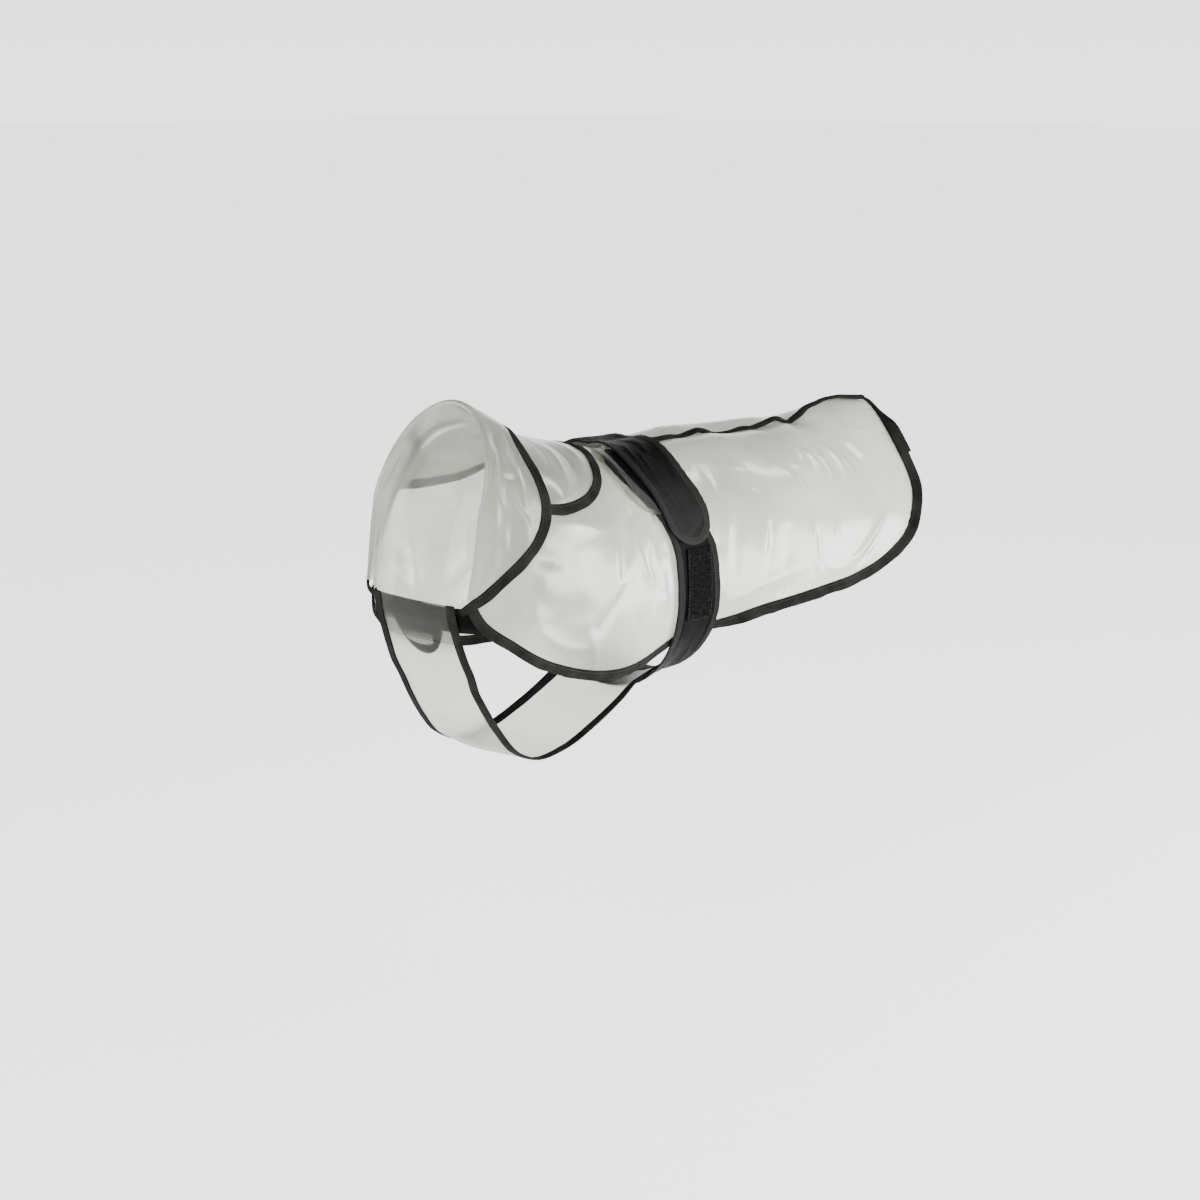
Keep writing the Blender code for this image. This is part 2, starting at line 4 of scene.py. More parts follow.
import bpy
import numpy as np
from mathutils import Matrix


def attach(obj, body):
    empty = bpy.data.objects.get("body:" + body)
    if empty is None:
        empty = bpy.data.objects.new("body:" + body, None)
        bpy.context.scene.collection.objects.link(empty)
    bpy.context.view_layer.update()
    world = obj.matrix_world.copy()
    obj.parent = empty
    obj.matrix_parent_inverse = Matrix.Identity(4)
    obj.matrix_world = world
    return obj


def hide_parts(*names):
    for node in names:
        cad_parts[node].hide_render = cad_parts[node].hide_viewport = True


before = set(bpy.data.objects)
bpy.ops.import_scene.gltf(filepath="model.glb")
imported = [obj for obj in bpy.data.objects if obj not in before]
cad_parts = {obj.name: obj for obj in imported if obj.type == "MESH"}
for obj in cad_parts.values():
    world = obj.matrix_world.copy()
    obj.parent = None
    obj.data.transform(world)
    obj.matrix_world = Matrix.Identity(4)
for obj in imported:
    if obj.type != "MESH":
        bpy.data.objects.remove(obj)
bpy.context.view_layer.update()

# ---------------------------------------------------------------- sizes, in mm
MM = 0.001
SEAM = 0.3                # gap between neighbouring pieces of the frame
FILM = 1.0                # film wall in the frame
FILM_REAL = 0.36          # film wall shown
TAPE_WIDTH = 8.0
MID_BACK_Z = 3.5
LIFT = FILM / 2.0 - MID_BACK_Z
FLAP_H = 2.0              # heights of the layers' middles over the body film
COLLAR_RISE = 4.6
BELT_UNDER = (2.0, 3.8)
BELT_OVER = (4.9, 6.7)

# how finely things are divided: rows or rings along them, and columns across
SECTION_STEPS = 120       # on half of a section of the form, above and below its widest place
NOISE_SIZE = 64           # of the square of random values behind smooth_noise
LINE_PLACES = 240         # on a smooth line before it is moved sideways
PANEL_ROWS, PANEL_COLS = 246, 104
COLLAR_ROWS, STAND_COLS, FOLD_ROUND, FALL_COLS = 220, 8, 10, 34
FLAP_ROWS, FLAP_COLS = 150, 48
LOWER_ROWS, UPPER_ROWS, STRAP_COLS, STRAP_PLACES = 118, 200, 58, 160
TUCK_ROWS, TUCK_COLS = 70, 34
BIB_ROWS, BIB_COLS = 170, 54
HEM_RINGS, FIN_RINGS, COLLAR_RINGS, FLAP_RINGS, BIB_RINGS, REAR_RINGS = 430, 230, 300, 270, 190, 90

# the figure's form, a row for each section from the neck to the tail:
# top (x, z), widest place (x, y, z), lowest place (x, z), roundness above and below
FIGURE_COLUMNS = ("top_x", "top_z", "side_x", "side_y", "side_z", "low_x", "low_z",
                  "round_top", "round_low")
FIGURE = (
    (-224, 67, -254, 56, -14, -273, -160, 2.0, 3.0),
    (-211, 60, -243, 63, -18, -269, -166, 2.0, 3.0),
    (-168, 35, -200, 90, -40, -256, -179, 2.0, 2.5),
    (-119, 20, -150, 94, -80, -238, -220, 2.1, 3.0),
    (-75, 12, -92, 93, -105, -144, -239, 2.2, 3.0),
    (-36, 6, -40, 85, -118, -46, -212, 2.4, 2.3),
    (0, MID_BACK_Z, 0, 81, -124, 0, -204, 2.5, 2.0),
    (32, 3.5, 32, 82, -124, 32, -204, 2.5, 2.0),
    (84, 4.5, 80, 91, -128, 78, -215, 2.6, 2.6),
    (140, 0.5, 137, 95, -126, 135, -215, 2.6, 2.8),
    (200, 0.5, 200, 95, -120, 200, -210, 2.3, 2.8),
    (238, 0.0, 238, 93, -119, 236, -208, 2.1, 2.8),
    (268, 7, 268, 91, -118, 264, -205, 2.0, 2.8),
    (318, 13.5, 320, 87, -116, 314, -200, 1.75, 2.6),
    (358, 9, 352, 83, -112, 346, -195, 1.55, 2.6),
)
# the film stands up beside the spine from the belt back, more on the right
PUFF_PEAK_S = 36.0
PUFF_LEFT, PUFF_RIGHT = 2.0, 7.0    # heights at their peaks
PUFF_FROM, PUFF_FULL, PUFF_FADE, PUFF_TO = -62.0, -30.0, 215.0, 290.0
# middle of the edge tape round a body panel as (q, s), from the front corner by the hem to
# the spine
HEM = (
    (-222, 197.5), (-208.5, 208.5), (-189, 220.5), (-168, 229.5), (-149, 235), (-130, 239.5),
    (-112, 242.5), (-94, 243.5), (-80, 242), (-66, 238), (-51, 230), (-38, 221),
    (-24, 213.5), (0, 208.5), (34, 206.5), (66, 207), (102, 206), (142, 203), (185, 199),
    (220, 195), (260, 189.5), (285, 182.5), (306, 172), (321, 158.5), (332, 142.5), (341, 128.5),
    (346, 115.5), (346.5, 103.5), (343, 90.5), (341, 75), (341, 60), (343, 45), (348, 30),
    (353, 16), (358, 1.4),
)
CORNER_ROW = 23           # row of HEM at the middle of the rounded rear corner
CORNER_SKIP = 4           # places left out of the line where it starts at the front corner
REAR_SPINE_S = 4.0        # the rear line runs straight to the seam from here
REAR_SPINE_DROP = 0.3     # and ends this much farther back

NECK_Q = -213.7           # neck seam, at the spine
NECK_CORNER = (-218.0, 192.5)
NECK_BEND = (-214.0, 172.0)
NECK_EVEN_S = (60.0, 120.0)   # places on the straight part of the neck seam

# middle of the tape on the collar's free edge, from the spine to the front corner
COLLAR_EDGE = (
    (-180, 0), (-184, 16), (-190, 33), (-193, 50), (-190.5, 66), (-185.5, 80), (-181.5, 93),
    (-178.5, 105), (-177, 117), (-177, 128), (-179, 140.5), (-183.5, 151.5), (-190, 162),
    (-197.5, 171.5), (-205, 179.5), (-212.5, 186), (-221, 191),
)
FOLD_Q = -226.0           # line of the collar's fold
COLLAR_END_S = 186.5
COLLAR_MEETS = (51.0, -98.5)   # y and z where its tape ends on the chest tabs

# middle of the tape on the leash flap's free edge, from the collar's tape to the spine
FLAP_EDGE = (
    (-174, 112), (-164, 110.5), (-153.5, 107), (-139.5, 100), (-125.5, 91.5), (-114.5, 82),
    (-106, 71), (-100.5, 59), (-95, 46), (-90, 31.5), (-87, 15), (-86, 0),
)
FLAP_ROOT_Q = -184.0      # the flap's sewn edge, under the collar's tape
FLAP_TAPE_MORE = 7.0      # how far its tape runs on under the collar at each end

# the belt's middle line and half width on the upper strap, from the left end over the spine
BELT_HALF = 28.5
BELT_UPPER = (
    (-5, 125), (-9, 113), (-13, 100), (-17, 90), (-21, 79), (-26, 68), (-29, 55), (-29, 40),
    (-26, 22), (-22, 2), (-18, -20), (-14, -45), (-9, -70), (-4, -95), (0, -120), (0, -150),
    (0, -205), (0, -250),
)
BELT_SPINE_ROW = 9        # row of BELT_UPPER next to the spine
BELT_LOWER = (
    (-40, 23), (-43, 40), (-45, 55), (-41, 68), (-33, 79), (-24, 89), (-17, 101), (-10, 113),
    (-3, 126), (0, 142), (0, 205), (0, 250),
)
UPPER_TIP_ROUND, LOWER_TIP_ROUND = 20.0, 9.0
STRAP_EVEN = 0.4          # share of a strap after which its rows turn square to the belly
STRAP_RISE_FROM, STRAP_RISE_TO = -14.0, 14.0     # where the upper strap climbs on the lower
LOOP_Q = (-15.5, 17.5)
LOOP_S = (128.0, 192.0)

# the seam fin on the spine: the two panels' edges stand up in a folded tape
FIN_Q = (20.5, 348.5)

# the bib from the neck down the chest and back under the belly: middle line x and z, half
# width over the tapes, and how far its edges bend toward the body
BIB = (
    (-268.0, -93, 48.0, 2.6), (-266.0, -106, 48.2, 2.6), (-261.0, -124, 48.5, 2.8),
    (-252.0, -149, 49.5, 3.0), (-237.0, -180, 50.5, 3.2), (-218.5, -210, 51.5, 3.2),
    (-199.0, -232.5, 52, 3.2), (-172.0, -245, 52, 3.2), (-136.0, -243, 52, 3.4),
    (-95.0, -230.0, 51, 3.8), (-58.0, -216.4, 50, 7.0), (-38.0, -211.3, 49, 13.0),
    (-23.0, -208.2, 48.5, 14.5), (-2.0, -204.7, 48, 15.8),
)
BIB_CHEST_ROWS = 7        # rows of the table down the chest, where z falls all the way
# the closure behind the bib's top: distance back at each y, then the tabs' sizes
CHEST_BACK = ((0, 0), (20, 0.3), (31, 1.0), (43, 2.6), (50, 5.2), (58, 10.0), (64, 16.6))
CHEST_BEHIND = 2.45       # from the bib's middle line to the outer tab
CHEST_THICK = 1.6
TAB_GAP = 2.4             # from the outer tab to the inner one
TAB_TOP, TAB_LOW = -95.0, -116.5
TONGUE_HALF, TONGUE_LOW = 31.0, -142.0
TONGUE_END = 0.6          # the tongue's cut end, short of its full half width
TAB_CORNER_Y = 62.0
TAB_INNER_END = 8.0
TAB_DIVE_Y, TAB_DIVE_RUN = 50.0, 12.0   # where the inner tab passes behind the outer one


def smooth_curve(x, y, at):
    """Values at `at` of a smooth curve through (x, y), straight beyond its ends."""
    x, y, at = (np.asarray(v, float) for v in (x, y, at))
    step = np.diff(x)
    rise = np.diff(y) / step
    slope = np.empty(len(x))
    slope[1:-1] = (rise[:-1] * step[1:] + rise[1:] * step[:-1]) / (step[1:] + step[:-1])
    slope[0], slope[-1] = rise[0], rise[-1]
    inside = np.clip(at, x[0], x[-1])
    k = np.clip(np.searchsorted(x, inside, side="right") - 1, 0, len(step) - 1)
    t = (inside - x[k]) / step[k]
    value = ((2 * t**3 - 3 * t**2 + 1) * y[k] + (t**3 - 2 * t**2 + t) * step[k] * slope[k]
             + (3 * t**2 - 2 * t**3) * y[k + 1] + (t**3 - t**2) * step[k] * slope[k + 1])
    return value + (at - inside) * np.where(at < x[0], slope[0], slope[-1])


def ease(t):
    t = np.clip(t, 0.0, 1.0)
    return t * t * (3.0 - 2.0 * t)


def run_along(points):
    """Length from a line's first point to each of its points."""
    return np.insert(np.cumsum(np.linalg.norm(np.diff(points, axis=0), axis=1)), 0, 0.0)


def runs(grid, axis):
    """Lengths to each point of a grid, counted down its rows (0) or across its columns (1)."""
    steps = np.linalg.norm(np.diff(grid, axis=axis), axis=2)
    return np.insert(np.cumsum(steps, axis=axis), 0, 0.0, axis=axis)


def pick_along(at, run, points):
    """Places at the lengths `at` on a line whose points lie at the lengths `run`."""
    return np.stack([np.interp(at, run, c) for c in points.T], -1)


def bent(a, b, c, t):
    """Places on the quadratic curve from a to c that bends toward b."""
    return (1 - t) ** 2 * a + 2 * t * (1 - t) * b + t * t * c


FIGURE_TABLE = np.array(FIGURE, float)
SPINE_Q = run_along(FIGURE_TABLE[:, :2])
SPINE_Q -= np.interp(0.0, FIGURE_TABLE[:, 0], SPINE_Q)


def half_section(q):
    """Points of half a section at each q, from the spine to the lowest place, and girths."""
    col = dict(zip(FIGURE_COLUMNS, (smooth_curve(SPINE_Q, c, q)[:, None]
                                    for c in FIGURE_TABLE.T)))
    turn = np.linspace(0.0, np.pi / 2, SECTION_STEPS)[None, :]
    cos, sin = np.clip(np.cos(turn), 0.0, 1.0), np.sin(turn)

    def part(above, below, down, out):
        x, z = (col[above + k] + down * (col[below + k] - col[above + k]) for k in ("_x", "_z"))
        return np.stack([x, out * col["side_y"], z], -1)

    over, under = 2.0 / col["round_top"], 2.0 / col["round_low"]
    points = np.concatenate([part("top", "side", 1.0 - cos ** over, sin ** over),
                             part("side", "low", sin ** under, cos ** under)[:, 1:]], axis=1)
    return points, runs(points, 1)


# the lookup of the form: rows by spine length, columns by girth
GRID_STEP = 2.0
GRID_Q = np.arange(-300.0, 421.0, GRID_STEP)
GRID_S = np.arange(-6.0, 341.0, GRID_STEP)

# creases of the body film: three places (q, s) along each, half width, height, and how much
# sharper its crest is than a soft roll (0 to 1); s is positive on the wearer's left
CREASES_LEFT = (
    (-78, 40, -76, 74, -56, 97, 3.0, -1.3, 0.9),
    (-67, 66, -62, 88, -50, 108, 6.0, 2.6, 0.4),
    (-75, 96, -76, 129, -62, 158, 4.0, 2.4, 0.8),
    (-62, 104, -60, 130, -50, 160, 7.0, 1.6, 0.3),
    (-85, 98, -88, 130, -93, 160, 8.0, -2.0, 0.3),
    (-100, 112, -97, 153, -88, 195, 7.0, 1.6, 0.6),
    (-171, 120, -137, 116, -101, 115, 7.0, 1.8, 0.5),
    (-176, 157, -163, 152, -145, 156, 7.0, -1.3, 0.2),
    (-150, 140, -128, 160, -112, 190, 12.0, 1.4, 0.2),
    (-56, 120, -59, 138, -44, 168, 3.5, -1.6, 0.8),
    (-46, 150, -40, 175, -33, 200, 5.0, 1.5, 0.5),
    (-96, 210, -95, 187, -79, 150, 5.0, -1.8, 0.6),
    (-104, 200, -98, 218, -90, 238, 4.0, 1.5, 0.8),
    (-148, 208, -121, 222, -98, 221, 6.0, 1.6, 0.5),
    (-189, 187, -180, 193, -165, 200, 3.0, 0.9, 0.7),
    (-180, 172, -160, 186, -140, 196, 8.0, -1.0, 0.2),
    (-66, 190, -60, 206, -62, 226, 6.0, -1.2, 0.5),
    (-45, 205, -52, 190, -50, 172, 4.0, 1.0, 0.6),
    (49, 108, 43, 134, 41, 160, 5.0, 1.9, 0.7),
    (60, 112, 55, 140, 54, 170, 6.0, -1.3, 0.3),
    (96, 112, 89, 142, 85, 175, 4.5, 2.0, 0.8),
    (101, 122, 99, 146, 95, 166, 4.5, -1.4, 0.5),
    (118, 128, 120, 150, 116, 172, 8.0, -1.2, 0.2),
    (160, 122, 157, 150, 163, 180, 3.0, 1.5, 0.9),
    (166, 140, 165, 160, 171, 184, 3.0, -1.2, 0.8),
    (140, 84, 143, 98, 150, 112, 5.0, 2.2, 0.8),
    (152, 88, 156, 100, 158, 116, 4.0, 1.7, 0.8),
    (148, 80, 160, 92, 166, 108, 4.0, -1.4, 0.6),
    (170, 46, 173, 60, 171, 74, 3.0, 2.4, 0.85),
    (182, 60, 189, 79, 182, 99, 3.2, 2.0, 0.8),
    (192, 62, 200, 80, 196, 100, 4.0, -1.2, 0.5),
    (219, 54, 227, 77, 222, 98, 3.2, 1.9, 0.8),
    (228, 64, 243, 88, 246, 110, 4.0, 1.3, 0.7),
    (206, 52, 212, 70, 210, 92, 5.0, -1.1, 0.3),
    (250, 60, 262, 84, 262, 104, 5.0, -1.0, 0.4),
    (62, 62, 74, 72, 92, 76, 6.0, 1.2, 0.3),
    (78, 84, 92, 92, 110, 92, 6.0, -1.0, 0.3),
    (282, 138, 241, 160, 204, 178, 4.5, 1.7, 0.7),
    (274, 150, 240, 171, 214, 184, 4.5, -1.3, 0.5),
    (197, 128, 192, 142, 187, 158, 4.0, 1.2, 0.6),
    (36, 186, 92, 181, 156, 170, 9.0, 1.6, 0.4),
    (156, 172, 214, 182, 262, 166, 9.0, 1.2, 0.3),
    (298, 120, 312, 108, 318, 86, 5.0, 1.2, 0.5),
    (300, 98, 306, 74, 300, 52, 6.0, -1.0, 0.3),
    (326, 96, 326, 74, 330, 50, 5.0, 1.1, 0.4),
    (270, 40, 285, 52, 306, 54, 6.0, 1.0, 0.4),
    (120, 40, 128, 54, 124, 72, 6.0, -0.9, 0.3),
    (36, 60, 40, 84, 38, 104, 4.0, 1.1, 0.6),
)
CREASES_RIGHT = (
    (-80, -52, -78, -86, -62, -120, 4.0, 2.2, 0.7),
    (-72, -70, -66, -104, -52, -142, 6.0, -1.8, 0.4),
    (-92, -96, -95, -138, -84, -178, 6.0, 1.9, 0.6),
    (-112, -104, -110, -150, -104, -196, 9.0, -1.7, 0.3),
    (-166, -124, -134, -120, -104, -124, 7.0, 1.6, 0.5),
    (-182, -150, -160, -166, -134, -172, 8.0, -1.2, 0.3),
    (-150, -150, -132, -178, -118, -206, 7.0, 1.5, 0.4),
    (-60, -132, -54, -162, -44, -200, 4.5, 1.8, 0.8),
    (-96, -214, -92, -190, -74, -160, 5.0, -1.6, 0.6),
    (-146, -206, -118, -220, -90, -222, 6.0, 1.4, 0.5),
    (-188, -184, -176, -194, -158, -204, 4.0, 0.9, 0.6),
    (44, -92, 40, -126, 44, -164, 5.0, 1.9, 0.7),
    (62, -104, 58, -138, 60, -172, 7.0, -1.4, 0.3),
    (84, -120, 90, -148, 84, -184, 4.5, 1.7, 0.8),
    (112, -110, 116, -142, 110, -170, 8.0, -1.3, 0.3),
    (136, -92, 142, -116, 138, -146, 5.0, 1.8, 0.7),
    (150, -84, 158, -100, 156, -124, 4.0, -1.4, 0.6),
    (168, -58, 176, -76, 172, -98, 4.0, 1.4, 0.8),
    (196, -64, 206, -86, 204, -108, 4.0, 1.4, 0.7),
    (232, -62, 240, -84, 236, -108, 5.0, 1.2, 0.6),
    (276, -132, 244, -156, 210, -170, 5.0, 1.6, 0.6),
    (262, -152, 236, -168, 206, -182, 5.0, -1.2, 0.4),
    (40, -184, 92, -182, 150, -174, 9.0, 1.5, 0.4),
    (170, -174, 214, -180, 262, -164, 8.0, 1.2, 0.3),
    (296, -118, 310, -100, 312, -74, 5.0, 1.2, 0.5),
    (322, -92, 328, -66, 330, -40, 5.0, -1.0, 0.4),
    (70, -58, 88, -66, 112, -64, 7.0, 1.1, 0.3),
)


def smooth_noise(seed, x, y, pitch):
    """Even-tempered noise from -1 to 1 with features `pitch` mm apart."""
    grid = np.random.default_rng(seed).uniform(-1.0, 1.0, (NOISE_SIZE, NOISE_SIZE))
    u, v = np.asarray(x, float) / pitch, np.asarray(y, float) / pitch
    i, j = np.floor(u).astype(int), np.floor(v).astype(int)
    fu, fv = ease(u - i), ease(v - j)
    near, far = (grid[i % NOISE_SIZE, k % NOISE_SIZE] * (1 - fu)
                 + grid[(i + 1) % NOISE_SIZE, k % NOISE_SIZE] * fu for k in (j, j + 1))
    return near * (1 - fv) + far * fv


def form_table():
    """The form's points for GRID_Q and GRID_S, and half the girth at each q."""
    points, girth = half_section(GRID_Q)
    reach, table = np.abs(GRID_S), []
    for line, run in zip(points, girth):
        past = reach > run[-1]
        places = pick_along(np.where(past, 2 * run[-1] - reach, reach), run, line)
        places[:, 1] *= np.where(past, 1.0, -1.0) * np.where(GRID_S < 0, -1.0, 1.0)
        table.append(places)
    return np.array(table), girth[:, -1]


FORM_TABLE, WHOLE_GIRTH = form_table()


def cubic_weights(t):
    """Weights of four neighbours for a place at the share t between the middle two."""
    return np.stack([-0.5 * t + t * t - 0.5 * t**3, 1 - 2.5 * t * t + 1.5 * t**3,
                     0.5 * t + 2 * t * t - 1.5 * t**3, -0.5 * t * t + 0.5 * t**3], -1)


def half_girth(q):
    return np.interp(np.asarray(q, float), GRID_Q, WHOLE_GIRTH)


def puff(q, s):
    """Height of the film's rise beside the spine."""
    reach = (np.abs(s) / PUFF_PEAK_S) ** 2
    along = ease((q - PUFF_FROM) / (PUFF_FULL - PUFF_FROM)) * ease((PUFF_TO - q)
                                                                   / (PUFF_TO - PUFF_FADE))
    return np.where(s > 0, PUFF_LEFT, PUFF_RIGHT) * along * reach * np.exp(1.0 - reach)


def form(q, s):
    """The figure's form at spine length q and girth s, as points in mm."""
    q, s = np.broadcast_arrays(np.asarray(q, float), np.asarray(s, float))
    u = (q - GRID_Q[0]) / GRID_STEP
    v = (np.abs(s) - GRID_S[0]) / GRID_STEP
    i = np.clip(np.floor(u).astype(int), 1, len(GRID_Q) - 3)
    j = np.clip(np.floor(v).astype(int), 1, len(GRID_S) - 3)
    wu, wv = cubic_weights(u - i), cubic_weights(v - j)
    out = np.zeros(q.shape + (3,))
    for a in range(4):
        for b in range(4):
            out += (wu[..., a] * wv[..., b])[..., None] * FORM_TABLE[i + a - 1, j + b - 1]
    out[..., 1] *= np.where(s < 0, -1.0, 1.0)
    out[..., 2] += puff(q, s) + LIFT
    return out


def form_slopes(q, s):
    step = 1.5
    return ((form(q + step, s) - form(q - step, s)) / (2 * step),
            (form(q, s + step) - form(q, s - step)) / (2 * step))


def unit(v):
    return v / np.maximum(np.linalg.norm(v, axis=-1, keepdims=True), 1e-9)


def form_normal(q, s):
    along, around = form_slopes(q, s)
    return unit(np.cross(around, along))


def resample(table, count):
    """`count` places, evenly spaced on the form, on the smooth line through (q, s) rows."""
    table = np.array(table, float)
    run = run_along(table)
    fine = np.linspace(0.0, run[-1], 40 * min(len(table), 60))
    line = np.stack([smooth_curve(run, c, fine) for c in table.T], -1)
    length = run_along(form(*line.T))
    return pick_along(np.linspace(0.0, length[-1], count), length, line)


def shifted(line, distance):
    """The line moved sideways over the form, to the left of its way when distance > 0."""
    line = np.array(line, float)
    for _ in range(2):
        way = unit(np.gradient(form(*line.T), axis=0))
        along, around = form_slopes(*line.T)
        side = np.cross(unit(np.cross(around, along)), way) * distance / 2.0
        aa, bb, ab, sa, sb = ((a * b).sum(-1) for a, b in (
            (along, along), (around, around), (along, around), (side, along), (side, around)))
        line = line + np.stack([sa * bb - sb * ab, sb * aa - sa * ab],
                               -1) / (aa * bb - ab * ab)[:, None]
    return line


def patch(spine, hem, neck, rear, shares):
    """Grid of (q, s) inside four lines; `shares` are the places of its columns, 0 to 1."""
    u = np.linspace(0.0, 1.0, len(spine))[:, None, None]
    v = shares[None, :, None]
    neck, rear = (pick_along(shares, np.linspace(0.0, 1.0, len(end)), end)[None]
                  for end in (neck, rear))
    flat = ((1 - u) * (1 - v) * spine[0] + u * (1 - v) * spine[-1]
            + (1 - u) * v * hem[0] + u * v * hem[-1])
    return (1 - v) * spine[:, None] + v * hem[:, None] + (1 - u) * neck + u * rear - flat


MIRROR = np.array([1.0, -1.0])


def softened(line, reach):
    """A line with its corners rounded over about `reach` places; its ends stay."""
    line = np.asarray(line, float)
    step = np.arange(-3 * reach, 3 * reach + 1)
    weight = np.exp(-0.5 * (step / reach) ** 2)
    weight /= weight.sum()
    before = 2 * line[0] - line[3 * reach:0:-1]
    after = 2 * line[-1] - line[-2:-3 * reach - 2:-1]
    padded = np.concatenate([before, line, after])
    return np.stack([np.convolve(padded[:, k], weight, "valid") for k in range(2)], -1)


# where the hem is drawn up a little toward the rear corner: place, reach and amount
HEM_EASE = ((238.0, 23.0, 4.3), (290.0, 22.0, 1.2))


def panel_grid(rows, cols):
    """Places of the left body panel's film, the hem on its last column."""
    edge = resample(shifted(resample(HEM, LINE_PLACES), TAPE_WIDTH / 2.0 + SEAM), 2 * LINE_PLACES)
    edge = softened(edge, 5)
    for middle, reach, up in HEM_EASE:
        edge[:, 1] -= up * np.exp(-((edge[:, 0] - middle) / reach) ** 2)
    corner = int(np.argmin(np.hypot(*(edge - np.array(HEM[CORNER_ROW])).T)))
    hem = np.concatenate([[NECK_CORNER], edge[2 * CORNER_SKIP:corner + 1]])
    rear = edge[corner:][::-1]
    rear = rear[rear[:, 1] > REAR_SPINE_S]
    rear = np.concatenate([[[rear[0, 0] + REAR_SPINE_DROP, SEAM / 2.0]], rear])
    neck = np.array([(NECK_Q, s) for s in (SEAM / 2.0, *NECK_EVEN_S)]
                    + [NECK_BEND, NECK_CORNER])
    spine = np.stack([np.linspace(NECK_Q, rear[0, 0], rows), np.full(rows, SEAM / 2.0)], -1)
    return patch(spine, resample(hem, rows), resample(neck, 3 * cols),
                 resample(rear, 3 * cols), np.linspace(0.0, 1.0, cols))


CREASE_REACH = 4.5        # half widths from a crease's line within which it counts


def crease_height(q, s, table):
    """Sum of the creases' heights at each place."""
    total = np.zeros(q.size)
    places = np.stack([q.ravel(), s.ravel()], -1)
    t = np.linspace(0.0, 1.0, 21)[:, None]
    for row in table:
        start, middle, stop = np.array(row[:6], float).reshape(3, 2)
        width, height, crisp = row[6:]
        line = bent(start, 2 * middle - (start + stop) / 2.0, stop, t)
        reach = CREASE_REACH * width
        near = np.where(((places > line.min(axis=0) - reach)
                         & (places < line.max(axis=0) + reach)).all(axis=1))[0]
        way = np.diff(line, axis=0)
        rel = places[near][:, None] - line[None, :-1]
        part = np.clip((rel * way).sum(-1) / (way * way).sum(-1), 0.0, 1.0)
        gap = np.linalg.norm(rel - part[..., None] * way, axis=-1)
        best, pick = gap.argmin(axis=1), np.arange(len(near))
        along = (best + part[pick, best]) / (len(t) - 1)
        x = gap[pick, best] / width
        sharp = np.exp(-np.sqrt(x * x * 2.6 + 0.05) + 0.22)
        fade = np.sin(np.pi * np.clip(along, 0.03, 0.97)) ** 0.7
        total[near] += height * fade * (np.exp(-x * x) * (1 - crisp) + sharp * crisp)
    return total.reshape(q.shape)


def belt_middle(s):
    """The q of the belt's middle at girth s."""
    table = np.array(BELT_UPPER, float)
    left, right = table[BELT_SPINE_ROW::-1], table[BELT_SPINE_ROW:]
    return np.where(s > 0, np.interp(s, left[:, 1], left[:, 0]),
                    np.interp(-s, -right[:, 1], right[:, 0]))


# how far the back's seam stands above or below the form, along the spine
SEAM_LIFT = (
    (-30, 0.0), (20, 0.0), (32, -0.3), (50, -0.3), (66, -1.6), (83, -0.1), (92, 0.6), (101, 0.0),
    (110, -1.7), (118, -2.6), (126, -3.0), (136, -2.6), (145, -1.9), (154, -0.9), (163, -0.9),
    (171, -1.5), (181, -0.8), (190, 0.1), (200, 1.8), (209, 2.9), (218, 1.1), (227, -0.8),
    (236, 0.5), (246, 2.1), (256, 4.0), (266, 4.1), (276, 3.9), (286, 3.8), (296, 3.0),
    (305, 1.8), (315, 0.4), (325, -0.6), (335, -1.2), (345, -0.8), (356, 0.0),
)
SEAM_REACH = 13.0


def seam_lift(q):
    table = np.array(SEAM_LIFT, float)
    return smooth_curve(table[:, 0], table[:, 1], np.clip(q, table[0, 0], table[-1, 0]))


def relief(q, s):
    """Height of the worn film's creases and waves above the form."""
    q, s = np.broadcast_arrays(np.asarray(q, float), np.asarray(s, float))
    left = crease_height(q, s, CREASES_LEFT)
    right = crease_height(q, s, CREASES_RIGHT)
    wave = (0.6 * smooth_noise(3, q, s, 46.0) + 0.34 * smooth_noise(5, q + 0.4 * s, s, 21.0)
            + 0.16 * smooth_noise(8, q, s - 0.3 * q, 10.0))
    ahead = np.abs(q - belt_middle(s)) - BELT_HALF
    clear = ease((ahead + 1.0) / 15.0)
    pull = 0.5 * np.sin(s / 4.3 + 2.2 * smooth_noise(11, q * 0.2, s, 14.0))
    pull = pull * ease(ahead / 5.0) * np.exp(-np.clip(ahead, 0, None) / 11.0)
    return (left + right + wave) * clear + pull


# ---------------------------------------------------------------- meshes
SHARP = 55.0              # degrees between faces from which their edge is sharp


def mesh_piece(name, verts, faces, mat, uv, sharp=SHARP, tag=None):
    """An object from points in mm; uv is one (u, v) in mm for each point."""
    mesh = bpy.data.meshes.new(name)
    mesh.from_pydata((verts * MM).tolist(), [], [list(map(int, f)) for f in faces])
    mesh.update()
    mesh.shade_smooth()
    mesh.set_sharp_from_angle(angle=math.radians(sharp))
    layer = mesh.uv_layers.new(name="cloth")
    index = np.empty(len(mesh.loops), int)
    mesh.loops.foreach_get("vertex_index", index)
    layer.data.foreach_set("uv", np.asarray(uv, np.float32)[index].ravel())
    for key, values in (tag or {}).items():
        layer = mesh.attributes.new(key, "FLOAT", "POINT")
        layer.data.foreach_set("value", np.asarray(values, np.float32))
    mesh.materials.append(mat)
    thing = bpy.data.objects.new(name, mesh)
    bpy.context.scene.collection.objects.link(thing)
    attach(thing, "root")
    return thing


